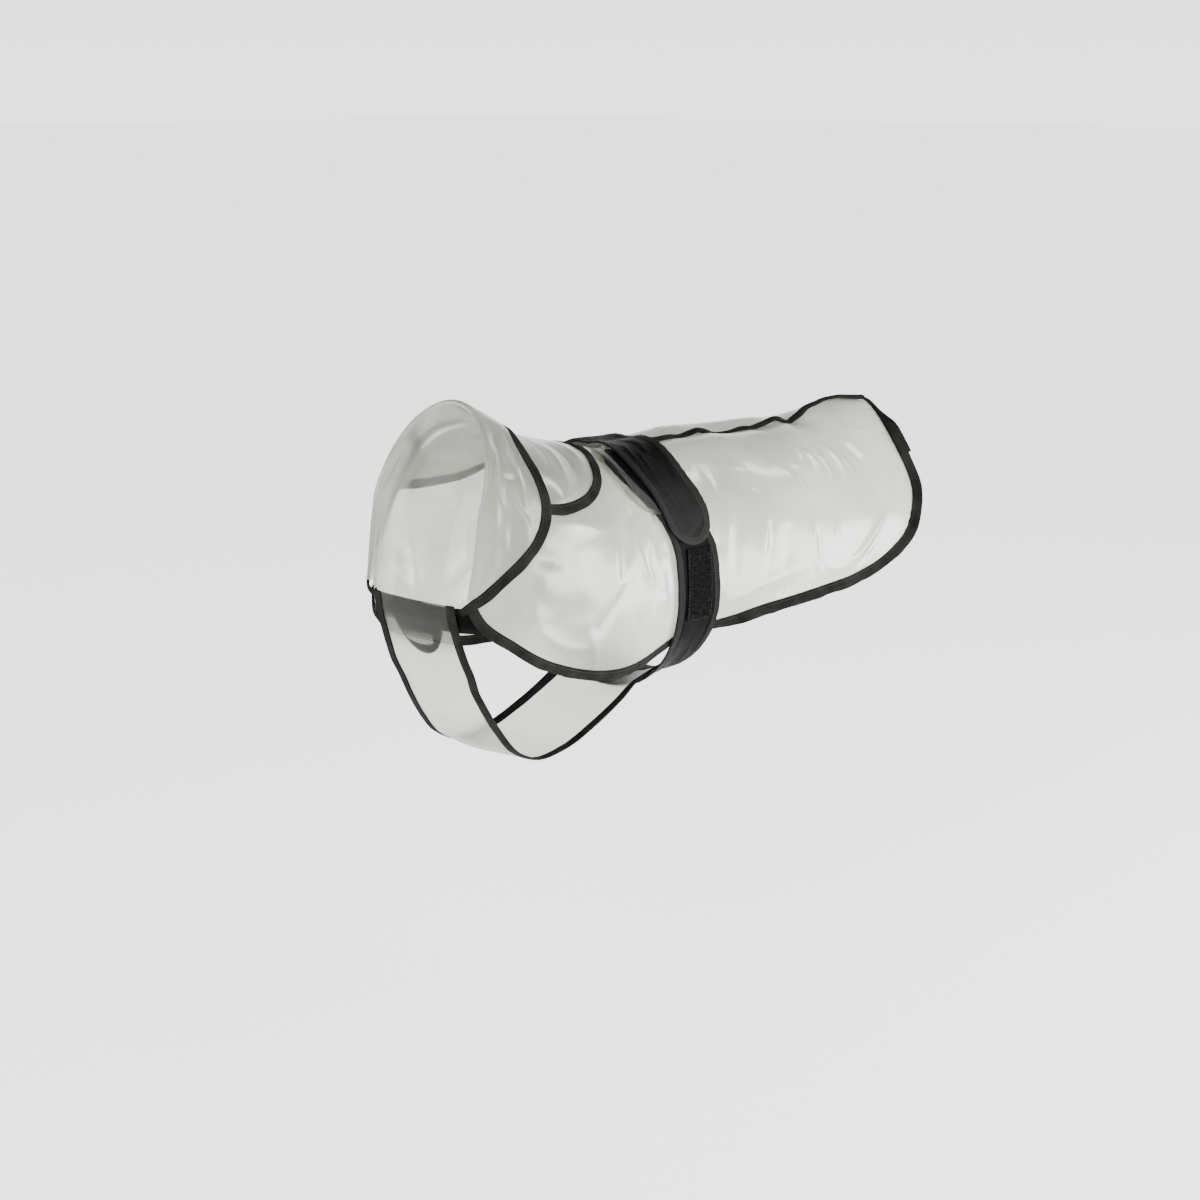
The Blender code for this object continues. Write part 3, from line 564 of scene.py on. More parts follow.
def shell(name, low, high, mat, uv, tag=None, sharp=SHARP):
    """A closed wall between two grids of points."""
    rows, cols = low.shape[:2]
    size = rows * cols
    index = np.arange(size).reshape(rows, cols)
    quads = np.stack([index[:-1, :-1], index[1:, :-1], index[1:, 1:], index[:-1, 1:]],
                     -1).reshape(-1, 4)
    rim = np.concatenate([index[0], index[1:, -1], index[-1, -2::-1], index[-2:0:-1, 0]])
    after = np.roll(rim, -1)
    sides = np.stack([rim, after, after + size, rim + size], -1)
    faces = np.concatenate([quads, quads[:, ::-1] + size, sides])
    across = np.cross(low[1:, :-1] - low[:-1, :-1], low[:-1, 1:] - low[:-1, :-1])
    if ((high - low)[:-1, :-1] * across).sum() > 0:
        faces = faces[:, ::-1]
    verts = np.concatenate([low.reshape(-1, 3), high.reshape(-1, 3)])
    tag = {key: np.tile(values.ravel(), 2) for key, values in (tag or {}).items()}
    return mesh_piece(name, verts, faces, mat, np.tile(uv.reshape(-1, 2), (2, 1)), sharp, tag)


def lengths_uv(points):
    """(run down the rows, run across the columns) in mm for a grid of points."""
    down = np.linalg.norm(np.diff(points, axis=0), axis=2).mean(axis=1)
    run = np.insert(np.cumsum(down), 0, 0.0)[:, None] + np.zeros(points.shape[:2])
    side = runs(points, 1)
    return np.stack([run, side - side.mean(axis=1, keepdims=True)], -1)


def loop_tube(name, rings, mat, uv):
    """A tube of rings of points (sections, points, 3), capped at its ends."""
    count, size = rings.shape[:2]
    index = np.arange(count * size).reshape(count, size)
    a, b = index[:-1], index[1:]
    quads = np.stack([a, b, np.roll(b, -1, axis=1), np.roll(a, -1, axis=1)], -1)
    faces = [*quads.reshape(-1, 4), index[0], index[-1][::-1]]
    ring, after = rings[count // 2], rings[count // 2 + 1]
    turn = np.cross(after - ring, np.roll(ring, -1, axis=0) - ring)
    if ((ring - ring.mean(axis=0)) * turn).sum() < 0:
        faces = [f[::-1] for f in faces]
    return mesh_piece(name, rings.reshape(-1, 3), faces, mat, uv.reshape(-1, 2))


# a thread stitch's rings: share along it, width as a share, and height of the middle
STITCH_FORM = ((0.0, 0.25, -0.05), (0.22, 0.95, 0.18), (0.5, 1.1, 0.18), (0.78, 0.95, 0.18),
               (1.0, 0.25, -0.05))


def stitch_row(points, normals, pitch=3.0, long=2.3, wide=0.42):
    """Points and faces of thread stitches along a line of points."""
    length = run_along(points)
    middle = np.arange(pitch / 2, length[-1] - pitch / 2, pitch)
    up = unit(pick_along(middle, length, normals))
    a, b = (pick_along(middle + k * long / 2, length, points) for k in (-1, 1))
    side = np.cross(up, unit(b - a))
    turns = np.linspace(0, 2 * math.pi, 7)[:-1]
    block = np.stack([np.stack([
        a + (b - a) * t + up * lift
        + (side * math.cos(w) + up * 0.75 * math.sin(w)) * wide / 2 * k for w in turns], 1)
        for t, k, lift in STITCH_FORM], 1)
    index = np.arange(len(middle) * 30).reshape(-1, 5, 6)
    after = np.roll(index, -1, axis=2)
    quads = np.stack([index[:, :-1], after[:, :-1], after[:, 1:], index[:, 1:]], -1)
    return block.reshape(-1, 3), [*quads.reshape(-1, 4), *index[:, 0, ::-1], *index[:, -1]]


def stitches(name, rows, mat, *sizes):
    """One piece of all the stitch rows; each is (points, normals)."""
    verts, faces, base = [], [], 0
    for points, normals in rows:
        v, f = stitch_row(points, normals, *sizes)
        verts.append(v)
        faces += [q + base for q in f]
        base += len(v)
    verts = np.concatenate(verts)
    return mesh_piece(name, verts, faces, mat, verts[:, :2])


# the folded edge tape's section: out from the film's edge, and height
TAPE_TOP = ((-1.0, 0.24), (-0.95, 0.6), (-0.5, 0.86), (0.5, 0.92), (1.3, 0.72), (2.1, 0.95),
            (3.6, 1.08), (5.4, 1.1), (7.0, 1.0), (7.9, 0.7), (8.25, 0.0))
TAPE_SLOT = ((7.1, -0.2), (7.1, 0.2))   # where the film lies between the tape's halves
STITCH_D, STITCH_H = 1.3, 0.74   # the stitch line's place on the tape
TAPE_SECTION = np.array([*TAPE_TOP, *((d, -h) for d, h in TAPE_TOP[-2::-1]), *TAPE_SLOT])
# the tape's own unevenness, as level, size and pitch: its height, thickness and width
TAPE_NOISES = ((0.0, 0.35, 16.0), (1.0, 0.12, 7.0), (1.0, 0.055, 11.0))
TAPE_LINES = np.array([-1.0, 0.0, 2.0, 4.0, 6.0, 8.25, 9.5])   # where lines are shifted to


def ring_uv(run, places):
    """uv of rings: the run along the tube, and each ring point's own place across."""
    return np.stack([np.stack([run, d + 0 * run], -1) for d in places], 1)


def tape_rings(edge, outward, height, raised, seed, flare=0.0):
    """Rings of the tape beside a film's edge on the form, with its stitch lines. `flare` is
    how much the tape stands off the form as it goes outward."""
    run = run_along(form(*edge.T))
    sway, swell, wide = (level + size * smooth_noise(seed + k, run, run * 0, pitch)
                         for k, (level, size, pitch) in enumerate(TAPE_NOISES))
    lines = np.array([shifted(edge, outward * d) for d in TAPE_LINES])
    pick = np.arange(len(edge))

    def point(d, h):
        at = np.clip(d * wide if d > 0 else d + 0 * wide, TAPE_LINES[0], TAPE_LINES[-1])
        i = np.clip(np.searchsorted(TAPE_LINES, at) - 1, 0, len(TAPE_LINES) - 2)
        t = ((at - TAPE_LINES[i]) / (TAPE_LINES[i + 1] - TAPE_LINES[i]))[:, None]
        q, s = (lines[i, pick] * (1 - t) + lines[i + 1, pick] * t).T
        up = height + raised(q, s) + sway + h + flare * max(d, 0.0)
        return on_form(q, s, up), form_normal(q, s)

    rings = np.stack([point(d, h * swell)[0] for d, h in TAPE_SECTION], 1)
    rows = []
    for sign in (1.0, -1.0):
        points, normal = point(STITCH_D, sign * STITCH_H * swell)
        rows.append((points, normal * sign))
    return rings, ring_uv(run, TAPE_SECTION[:, 0]), rows


# ---------------------------------------------------------------- materials
def new_material(name, rough, spec=0.5):
    mat = bpy.data.materials.new(name)
    mat.use_nodes = True
    shader = mat.node_tree.nodes["Principled BSDF"]
    shader.inputs["Roughness"].default_value = rough
    shader.inputs["Specular IOR Level"].default_value = spec
    return mat, mat.node_tree, shader


def node(tree, kind, **values):
    made = tree.nodes.new(kind)
    for key, value in values.items():
        if key in made.inputs:
            made.inputs[key].default_value = value
        else:
            setattr(made, key, value)
    return made


def join(tree, a, out, b, into):
    tree.links.new(a.outputs[out], b.inputs[into])


def noise_on(tree, scale, detail=3.0):
    made = node(tree, "ShaderNodeTexNoise", Scale=scale, Detail=detail, Roughness=0.55)
    join(tree, node(tree, "ShaderNodeTexCoord"), "Object", made, "Vector")
    return made


def colour_mix(tree, driver, out, low, high, a=0.35, b=0.65):
    ramp = node(tree, "ShaderNodeValToRGB")
    ramp.color_ramp.elements[0].position = a
    ramp.color_ramp.elements[1].position = b
    ramp.color_ramp.elements[0].color = (*low, 1.0)
    ramp.color_ramp.elements[1].color = (*high, 1.0)
    join(tree, driver, out, ramp, "Fac")
    return ramp


def tint(tree, shader, noise, low, high, a=0.35, b=0.65):
    """The noise sets the shader's colour between two."""
    join(tree, colour_mix(tree, noise, "Fac", low, high, a, b), "Color", shader, "Base Color")


def vary_rough(tree, shader, noise, low, high):
    """The noise sets the shader's roughness between two values."""
    made = node(tree, "ShaderNodeMapRange")
    for key, value in (("From Min", 0.3), ("From Max", 0.7), ("To Min", low), ("To Max", high)):
        made.inputs[key].default_value = value
    join(tree, noise, "Fac", made, "Value")
    join(tree, made, "Result", shader, "Roughness")


def bumps(tree, shader, *layers):
    """Bumps on each other, coarsest first: (node, its output, strength, distance in metres)."""
    before = None
    for driver, out, strength, distance in layers:
        made = node(tree, "ShaderNodeBump", Strength=strength, Distance=distance)
        join(tree, driver, out, made, "Height")
        if before is not None:
            join(tree, before, "Normal", made, "Normal")
        before = made
    join(tree, before, "Normal", shader, "Normal")


def film_material(name, low, high, clear, rough, coat=0.9, index=1.14):
    mat, tree, shader = new_material(name, rough)
    for key, value in (("Transmission Weight", clear), ("IOR", index), ("Coat Weight", coat),
                       ("Coat Roughness", 0.17), ("Coat IOR", 1.5)):
        shader.inputs[key].default_value = value
    tint(tree, shader, noise_on(tree, 14.0, 4.0), low, high)
    vary_rough(tree, shader, noise_on(tree, 42.0), rough - 0.05, rough + 0.07)
    bumps(tree, shader, (noise_on(tree, 120.0, 2.0), "Fac", 0.3, 0.00016),
          (noise_on(tree, 900.0, 2.0), "Fac", 0.2, 0.00003))
    return mat


WAVE_SCALE = 0.314159     # wave texture's Scale for waves one unit long


def weave_height(tree, pitch):
    """Over-and-under weave from the cloth's own mm; gives a node whose Value is its height."""
    where = node(tree, "ShaderNodeUVMap", uv_map="cloth")
    cross = node(tree, "ShaderNodeMath", operation="MULTIPLY")
    for k, axis in enumerate("XY"):
        made = node(tree, "ShaderNodeTexWave", wave_type="BANDS", bands_direction=axis,
                    wave_profile="SIN", Scale=WAVE_SCALE / pitch, Distortion=0.6, Detail=1.0)
        join(tree, where, "UV", made, "Vector")
        join(tree, made, "Fac", cross, k)
    return cross


def cloth_material(name, low, high, rough, pitch, deep, spec, bound=None):
    """Woven cloth; `bound` is the colour where the mesh's own "bound" mark is 1; on the upper
    strap's rounded end that mark is also raised as a painted sheen.
    """
    mat, tree, shader = new_material(name, rough, spec)
    weave = weave_height(tree, pitch)
    ramp = colour_mix(tree, noise_on(tree, 60.0, 4.0), "Fac", low, high)
    shade = colour_mix(tree, weave, "Value", (0.62,) * 3, (1.0,) * 3, 0.0, 0.5)
    colour = node(tree, "ShaderNodeMix", data_type="RGBA", blend_type="MULTIPLY")
    colour.inputs[0].default_value = 0.6
    join(tree, ramp, "Color", colour, 6)
    join(tree, shade, "Color", colour, 7)
    if bound is not None:
        edge = node(tree, "ShaderNodeMix", data_type="RGBA")
        edge.inputs[7].default_value = (*bound, 1.0)
        join(tree, node(tree, "ShaderNodeAttribute", attribute_name="bound"), "Fac", edge, 0)
        join(tree, colour, 2, edge, 6)
        colour = edge
    join(tree, colour, 2, shader, "Base Color")
    vary_rough(tree, shader, noise_on(tree, 25.0), rough - 0.08, rough + 0.08)
    bumps(tree, shader, (noise_on(tree, 90.0), "Fac", 0.3, 0.0006), (weave, "Value", 0.7, deep))
    return mat


def pile_material():
    mat, tree, shader = new_material("loop_pile", 0.9, 0.02)
    tint(tree, shader, noise_on(tree, 430.0), (0.0012, 0.0012, 0.0013),
         (0.0100, 0.0100, 0.0103), 0.36, 0.70)
    bumps(tree, shader, (noise_on(tree, 1800.0, 2.0), "Fac", 0.8, 0.0004))
    return mat


def plain_material(name, colour):
    mat, tree, shader = new_material(name, 0.6, 0.3)
    mottle = noise_on(tree, 200.0)
    tint(tree, shader, mottle, tuple(c * 0.8 for c in colour), colour)
    bumps(tree, shader, (mottle, "Fac", 0.3, 0.0002))
    return mat


FILM_MAT = film_material("film", (0.56, 0.568, 0.515), (0.665, 0.67, 0.622), 0.84, 0.5)
BIB_FILM_MAT = film_material("film_bib", (0.55, 0.555, 0.51), (0.63, 0.632, 0.59), 0.992, 0.38,
                             0.15, 1.1)
TAPE_MAT = cloth_material("edge_tape", (0.008, 0.008, 0.0072), (0.018, 0.018, 0.0162), 0.7, 0.5,
                          0.00012, 0.03)
BELT_TONES = (0.0016, 0.0016, 0.0018), (0.0042, 0.0042, 0.0044)
# the bound edges' lighter tone, also painted on the upper strap's rounded end as a painted sheen
BELT_BOUND_AND_SHEEN = (0.0105, 0.0105, 0.0095)
BELT_MAT = cloth_material("belt_cloth", *BELT_TONES, 0.5, 0.45, 0.0001, 0.02, BELT_BOUND_AND_SHEEN)
UPPER_MAT = cloth_material("belt_upper_cloth", *BELT_TONES, 0.46, 0.45, 0.0001, 0.035,
                           BELT_BOUND_AND_SHEEN)
TAB_MAT = cloth_material("tab_cloth", (0.0018, 0.0018, 0.0020), (0.0036, 0.0036, 0.0038), 0.6,
                         0.45, 0.00001, 0.02, (0.006, 0.006, 0.0055))
PILE_MAT = pile_material()
THREAD_MAT = plain_material("thread", (0.016, 0.016, 0.0152))
SEAM_THREAD_MAT = plain_material("seam_thread", (0.012, 0.012, 0.0115))
# a pale sheet laid on the tongue's front, where a light spot shows
PALE_MAT = plain_material("tongue_pale_patch", (0.52, 0.52, 0.50))

# ---------------------------------------------------------------- the body panels
PUCKER_LONG, PUCKER_HIGH, PUCKER_REACH = 9.0, 0.34, 4.5


def on_form(q, s, h):
    """Points at the height h over the form."""
    return form(q, s) + form_normal(q, s) * np.asarray(h)[..., None]


def film_walls(q, s, h, wall=FILM_REAL):
    """The inner and outer faces of a film whose middle is at the height h."""
    return on_form(q, s, h - wall / 2), on_form(q, s, h + wall / 2)


def pucker(run, away, seed):
    """Small gathers that a seam leaves beside it."""
    start = 3.0 * smooth_noise(seed, run, run * 0, 3.3 * PUCKER_LONG)
    size = 0.65 + 0.5 * smooth_noise(seed + 1, run, away * 0, 2.1 * PUCKER_LONG)
    x = away / PUCKER_REACH
    return (PUCKER_HIGH * size * np.sin(2 * np.pi * run / PUCKER_LONG + start)
            * x * np.exp(1.0 - x))


HEM_CALM = 0.3            # share of the creases' height that is left at the bound edge


def hem_calm(away):
    return HEM_CALM + (1.0 - HEM_CALM) * ease(away / 22.0)


def panel(name, side):
    grid = panel_grid(PANEL_ROWS, PANEL_COLS)
    q, s = grid[..., 0], grid[..., 1] * side
    base = form(q, s)
    from_spine, run = runs(base, 1), runs(base, 0)
    to_hem, to_rear = from_spine[:, -1:] - from_spine, run[-1:] - run
    h = relief(q, s) * hem_calm(np.minimum(to_hem, to_rear))
    h = h + pucker(run, to_hem, 21) + pucker(from_spine, to_rear, 23)
    h = h + seam_lift(q) * np.exp(-(from_spine / SEAM_REACH) ** 1.3)
    return shell(name, *film_walls(q, s, h), FILM_MAT, np.stack([run, from_spine], -1)), grid


def raised_body(q, s):
    return relief(q, s) * HEM_CALM


def hem_binding(name, grid, side):
    edge = np.concatenate([grid[:, -1], grid[-1, -2::-1]])
    edge = resample(edge[::2], HEM_RINGS) * np.array([1.0, side])
    flare = 0.5 * ease((edge[:, 0] - 30.0) / 36.0) + 0.25 * ease((edge[:, 0] - 262.0) / 60.0)
    flare = 0.03 + flare * ease((edge[:, 1] * side - 20.0) / 50.0)
    rings, uv, rows = tape_rings(edge, -side, 0.0, raised_body, 31 if side > 0 else 37, flare)
    return loop_tube(name, rings, TAPE_MAT, uv), rows


film_left, left_grid = panel("film_left", 1.0)
film_right, _ = panel("film_right", -1.0)
hem_left, hem_rows_left = hem_binding("hem_binding_left", left_grid, 1.0)
hem_right, hem_rows_right = hem_binding("hem_binding_right", left_grid, -1.0)
stitch_hem = stitches("hem_stitches", hem_rows_left + hem_rows_right, THREAD_MAT)

# ---------------------------------------------------------------- the seam fin on the spine
# places along the spine, the fin's height along its own curl, and where the curl starts and
# ends, in degrees from upright
FIN_CURL = (
    (20, 8.0, 18, 142), (50, 8.4, 18, 148), (70, 8.0, 34, 146), (90, 8.6, 14, 150),
    (110, 8.0, 38, 140), (130, 8.4, 38, 144), (155, 8.8, 20, 150), (170, 8.0, 36, 140),
    (190, 8.6, 18, 148), (209, 8.6, 16, 144), (225, 7.8, 40, 138), (246, 9.0, 10, 152),
    (262, 7.8, 18, 142), (280, 6.8, 26, 130), (300, 6.6, 32, 130), (318, 7.8, 26, 138),
    (334, 9.2, 20, 150), (350, 9.4, 22, 150),
)
FIN_FOOT = 0.2            # height of its foot over the form
FIN_WALL = 2.7            # thickness that FIN_PROFILE takes its half shares of
FIN_FULL = 1.2            # times the table's heights
FIN_PROFILE = (0.42, 0.3, 0.46, 0.5, 0.52, 0.52, 0.52, 0.5, 0.46, 0.36, 0.14)


def spine_binding():
    """The bound seam: a folded tape that stands up and curls over to the left."""
    q = np.linspace(*FIN_Q, FIN_RINGS)
    table = np.array(FIN_CURL, float)
    high, start, stop = (smooth_curve(table[:, 0], table[:, k], q)[:, None] for k in (1, 2, 3))
    high = high * FIN_FULL
    share = np.linspace(0.0, 1.0, len(FIN_PROFILE))
    start = start + 5.0 * smooth_noise(41, q, q * 0, 13.0)[:, None]
    angle = np.radians(start + (stop - start) * share ** 0.9)
    middle = (angle[:, 1:] + angle[:, :-1]) / 2.0
    out, up = (np.insert(np.cumsum(turn(middle) * high / (len(share) - 1), axis=1), 0, 0.0,
                         axis=1) for turn in (np.sin, np.cos))
    normal = form_normal(q, 0 * q)
    foot = on_form(q, 0 * q, FIN_FOOT + seam_lift(q))

    def place(side):
        width = FIN_WALL * np.array(FIN_PROFILE) * side
        o, u = out - np.cos(angle) * width, up + np.sin(angle) * width
        return (foot[:, None] + np.array([0.0, -1.0, 0.0]) * o[..., None]
                + normal[:, None] * u[..., None])

    over, under = place(1.0), place(-1.0)
    across = np.concatenate([share, share[::-1]]) * high
    made = loop_tube("spine_binding", np.concatenate([over, under[:, ::-1]], axis=1), TAPE_MAT,
                     np.stack([q[:, None] + 0 * across, across], -1))
    rows = []
    for wall, other in ((over, under), (under, over)):
        away = unit(wall[:, 1] - other[:, 1])
        rows.append((wall[:, 1] - away * 0.02, away))
    return made, rows


fin, fin_rows = spine_binding()

# ---------------------------------------------------------------- collar


def collar_line(count):
    half = np.array(COLLAR_EDGE, float)
    line = resample(np.concatenate([half[::-1] * MIRROR, half[1:]]), LINE_PLACES)
    edge = shifted(line, -(TAPE_WIDTH / 2.0 + SEAM))
    return resample(edge[np.abs(edge[:, 1]) < COLLAR_END_S][::3], count)


# creases of the collar's fall: places (share down from fold to edge, s), then as above
COLLAR_CREASES = (
    (0.26, 60, 0.20, 86, 0.40, 112, 2.6, 1.9, 0.8),
    (0.44, 96, 0.60, 112, 0.90, 128, 2.4, 2.0, 0.9),
    (0.58, 70, 0.68, 92, 0.74, 116, 3.0, 1.7, 0.7),
    (0.66, 118, 0.80, 128, 0.96, 146, 2.2, 1.4, 0.8),
    (0.34, 84, 0.52, 88, 0.70, 84, 2.6, -1.5, 0.8),
    (0.52, 122, 0.60, 134, 0.74, 150, 3.0, -1.5, 0.6),
    (0.20, 44, 0.26, 60, 0.24, 84, 4.0, -1.3, 0.4),
    (0.30, 132, 0.45, 150, 0.62, 162, 4.0, 1.6, 0.5),
    (0.20, 150, 0.30, 164, 0.40, 176, 4.0, -1.2, 0.4),
    (0.70, 40, 0.76, 58, 0.74, 78, 4.0, -1.1, 0.5),
    (0.16, 100, 0.28, 118, 0.34, 138, 3.2, 1.4, 0.6),
    (0.30, -58, 0.26, -92, 0.44, -122, 3.0, 1.8, 0.7),
    (0.50, -104, 0.64, -122, 0.88, -136, 3.0, 1.6, 0.7),
    (0.62, -66, 0.70, -90, 0.66, -112, 3.5, 1.4, 0.6),
    (0.40, -84, 0.52, -92, 0.74, -90, 3.0, -1.2, 0.7),
    (0.24, -136, 0.42, -152, 0.58, -166, 4.5, -1.3, 0.4),
)
FALL_LONG = 42.0          # mm for the whole share from fold to edge, for creases' places


def collar():
    edge = collar_line(COLLAR_ROWS)
    neck = left_grid[0]
    q_in = np.interp(np.abs(edge[:, 1:]), neck[:, 1], neck[:, 0]) - SEAM
    radius = COLLAR_RISE / 2.0
    stand = np.linspace(0.0, 1.0, STAND_COLS)[:-1]
    turn = np.linspace(0.0, np.pi, FOLD_ROUND)
    fall = np.linspace(0.0, 1.0, FALL_COLS)[1:]
    q = np.concatenate([q_in + (FOLD_Q - q_in) * stand,
                        FOLD_Q - radius * np.sin(turn) + 0 * q_in,
                        FOLD_Q + (edge[:, :1] - FOLD_Q) * fall], axis=1)
    h = 0 * q + np.concatenate([0 * stand, radius * (1.0 - np.cos(turn)),
                                COLLAR_RISE + 0 * fall])
    share = 0 * q + np.concatenate([0 * stand, 0 * turn, fall])
    s = edge[:, 1:] + 0 * q
    lift = crease_height(share * FALL_LONG, s,
                         np.array(COLLAR_CREASES) * ([FALL_LONG, 1] * 3 + [1, 1, 1]))
    fade = np.sin(np.pi * np.clip(share, 0.0, 0.96)) ** 0.5
    lift = lift * ease(share / 0.15) + fade * (0.5 * smooth_noise(51, share * 40, s, 17.0) + 0.5)
    sway = 0.5 * smooth_noise(53, s, s * 0, 30.0) * np.sin(np.pi * np.clip(
        (q - FOLD_Q) / -radius, 0, 1) / 2)
    middle = on_form(q + sway, s, h + lift)
    normal = unit(np.cross(np.gradient(middle, axis=0), np.gradient(middle, axis=1)))
    if (normal * form_normal(q, s))[:, -3].sum() < 0:
        normal = -normal
    wall = normal * FILM_REAL / 2.0
    return shell("collar_film", middle - wall, middle + wall, FILM_MAT, lengths_uv(middle)), edge


collar_film, collar_edge = collar()


def no_rise(q, s):
    return np.zeros(q.shape)


BIB_TABLE = np.array(BIB, float)
BIB_RUN = run_along(BIB_TABLE[:, :2])


def drawn_out(rings, uv, target, count=10, shrink=0.3):
    """Rings with their first end drawn on to a place, narrowing a little."""
    centre = rings[0].mean(axis=0)
    way = unit(centre - rings[4].mean(axis=0))
    reach = np.linalg.norm(target - centre)
    t = np.linspace(1.0, 1.0 / count, count)[:, None, None]
    more = (bent(centre, centre + way * reach * 0.45, target, t)
            + (rings[0] - centre) * (1.0 - shrink * t))
    marks = uv[0] - np.array([reach, 0.0]) * t
    return np.concatenate([more, rings]), np.concatenate([marks, uv])


def chest_point(y, z, back):
    """Places of the closure behind the bib's top, `back` mm behind the bib's middle."""
    run = np.interp(-z, -BIB_TABLE[:BIB_CHEST_ROWS, 1], BIB_RUN[:BIB_CHEST_ROWS])
    x = smooth_curve(BIB_RUN, BIB_TABLE[:, 0], run)
    behind = smooth_curve(*np.array(CHEST_BACK, float).T, np.abs(y))
    return np.stack([x + back + behind, y + 0 * z, z + 0 * y + LIFT], -1)


def chest_corner(side):
    """Where the collar's tape ends, on the chest tab beside the bib."""
    y, z = COLLAR_MEETS
    return chest_point(np.array([y * side]), np.array([z]), CHEST_BEHIND - 1.9)[0]


fine_collar_edge = resample(collar_edge[::3], COLLAR_RINGS)
rings, uv, collar_rows = tape_rings(fine_collar_edge, 1.0, COLLAR_RISE, no_rise, 61)
first = np.sign(rings[0].mean(axis=0)[1])
rings, uv = drawn_out(rings, uv, chest_corner(first))
rings, uv = drawn_out(rings[::-1], uv[::-1], chest_corner(-first))
collar_binding = loop_tube("collar_binding", rings[::-1], TAPE_MAT, uv[::-1])

# ---------------------------------------------------------------- leash flap
FLAP_CREASES = (
    (-150, 30, -148, 58, -152, 92, 5.0, 1.3, 0.6),
    (-136, 22, -132, 48, -134, 76, 5.0, -1.0, 0.4),
    (-118, 10, -114, 34, -116, 58, 6.0, 0.9, 0.4),
    (-168, 20, -164, 50, -168, 84, 6.0, -0.8, 0.3),
    (-146, -26, -150, -56, -144, -90, 5.0, 1.2, 0.6),
    (-124, -14, -128, -40, -126, -66, 6.0, -0.9, 0.4),
)
FLAP_CALM_Q = -176.0      # the flap lies flat ahead of this place, under the collar


def flap():
    half = np.array(FLAP_EDGE, float)
    line = resample(np.concatenate([half, (half[::-1] * MIRROR)[1:]]), LINE_PLACES)
    edge = resample(shifted(line, TAPE_WIDTH / 2.0 + SEAM)[::3], FLAP_ROWS)
    share = np.linspace(0.0, 1.0, FLAP_COLS)[None, :, None]
    root = np.stack([np.minimum(FLAP_ROOT_Q, edge[:, 0] - 1.0), edge[:, 1]], -1)
    grid = root[:, None] * (1 - share) + edge[:, None] * share
    q, s = grid[..., 0], grid[..., 1]
    base = form(q, s)
    to_root = runs(base, 1)
    to_edge = to_root[:, -1:] - to_root
    run = run_along(base[:, -1])[:, None] + 0 * q
    inside = ease(to_edge / 16.0) * ease((q - FLAP_CALM_Q) / 16.0)
    h = FLAP_H + inside * (1.0 + crease_height(q, s, FLAP_CREASES)
                           + 0.5 * smooth_noise(71, q, s, 24.0))
    h = h + 0.7 * pucker(run, to_edge, 73)
    made = shell("flap_film", *film_walls(q, s, h), FILM_MAT, np.stack([run, to_root], -1))
    ends = [edge[k] + unit(edge[k] - edge[n]) * FLAP_TAPE_MORE for k, n in ((0, 1), (-1, -2))]
    fine = resample(np.concatenate([[ends[0]], edge[:-1:2], edge[-1:], [ends[1]]]),
                    FLAP_RINGS)
    rings, uv, rows = tape_rings(fine, -1.0, FLAP_H + 0.3, no_rise, 75)
    return made, loop_tube("flap_binding", rings, TAPE_MAT, uv), rows


flap_film, flap_binding, flap_rows = flap()


# ---------------------------------------------------------------- belt
def strap_grid(table, tip_round, rows):
    """A strap along a table of (q, s), its first end rounded, its last at the belly; also the
    run from the tip and the place across, in mm, and the gap to the strap's edge."""
    v = np.linspace(-1.0, 1.0, STRAP_COLS)
    middle = resample(table, STRAP_PLACES)
    length = np.abs(np.diff(middle[:, 1])).sum()
    run = np.linspace(0.0, 1.0, STRAP_PLACES)
    steps = np.linspace(0.0, 1.0, rows)[:, None]
    start = tip_round * (1.0 - np.sqrt(np.maximum(0.0, 1.0 - v * v))) / length
    t = start + (1.0 - start) * steps
    end = np.sign(middle[-1, 1]) * (half_girth(middle[-1, 0] + v * BELT_HALF) - SEAM / 2.0)
    share = ease((steps - STRAP_EVEN) / (1.0 - STRAP_EVEN))
    grid = np.stack([np.interp(t, run, middle[:, 0]) + v * BELT_HALF,
                     np.interp(t, run, middle[:, 1]) + share * (end - middle[-1, 1])], -1)
    place = np.stack([t * length, v * BELT_HALF + 0 * t], -1)
    tip = np.linspace(-1.0, 1.0, 161)
    long = np.arange(tip_round, length + 30.0, 1.0)
    edge = np.concatenate([np.stack([tip_round * (1.0 - np.sqrt(1.0 - tip * tip)),
                                     tip * BELT_HALF], -1)]
                          + [np.stack([long, k * BELT_HALF + 0 * long], -1) for k in (-1, 1)])
    gap = np.array([np.linalg.norm(row[:, None] - edge[None], axis=2).min(axis=1)
                    for row in place])
    return grid, place, gap


BIND_WIDE = 7.0           # the bound edge's width, and its stitch line from the edge
BIND_STITCH = BIND_WIDE - 1.2
FRONT_SHOWS = 8.5         # how far the lower strap's front edge shows beside the upper strap
TIP_WIDER, TIP_STANDS = 3.2, 3.0   # the upper strap's rear edge above its rounded end
BIND_RISE = 0.42          # of the bound edge over the cloth
TIP_PAINTED_SHEEN = 0.55          # how much of the bound edge's lighter tone is painted on the rounded end, as a painted sheen


def belt_relief(place, gap):
    """Rise of the bound edges, their stitch grooves and the cloth's own waves."""
    x, y = place[..., 0], place[..., 1]
    bind = 1.0 - ease((gap - BIND_WIDE) / 0.5)
    rise = (BIND_RISE * bind - 0.16 * np.exp(-((gap - BIND_STITCH) / 0.5) ** 2)
            - 0.75 * (1.0 - np.clip(gap / 1.1, 0.0, 1.0)) ** 2
            + 0.34 * smooth_noise(81, x, y, 17.0) + 0.14 * smooth_noise(83, x, y, 6.0)
            + 0.12 * bind * np.sin(2 * np.pi * x / 6.5 + 2 * smooth_noise(85, x, y, 11.0)))
    return rise, bind


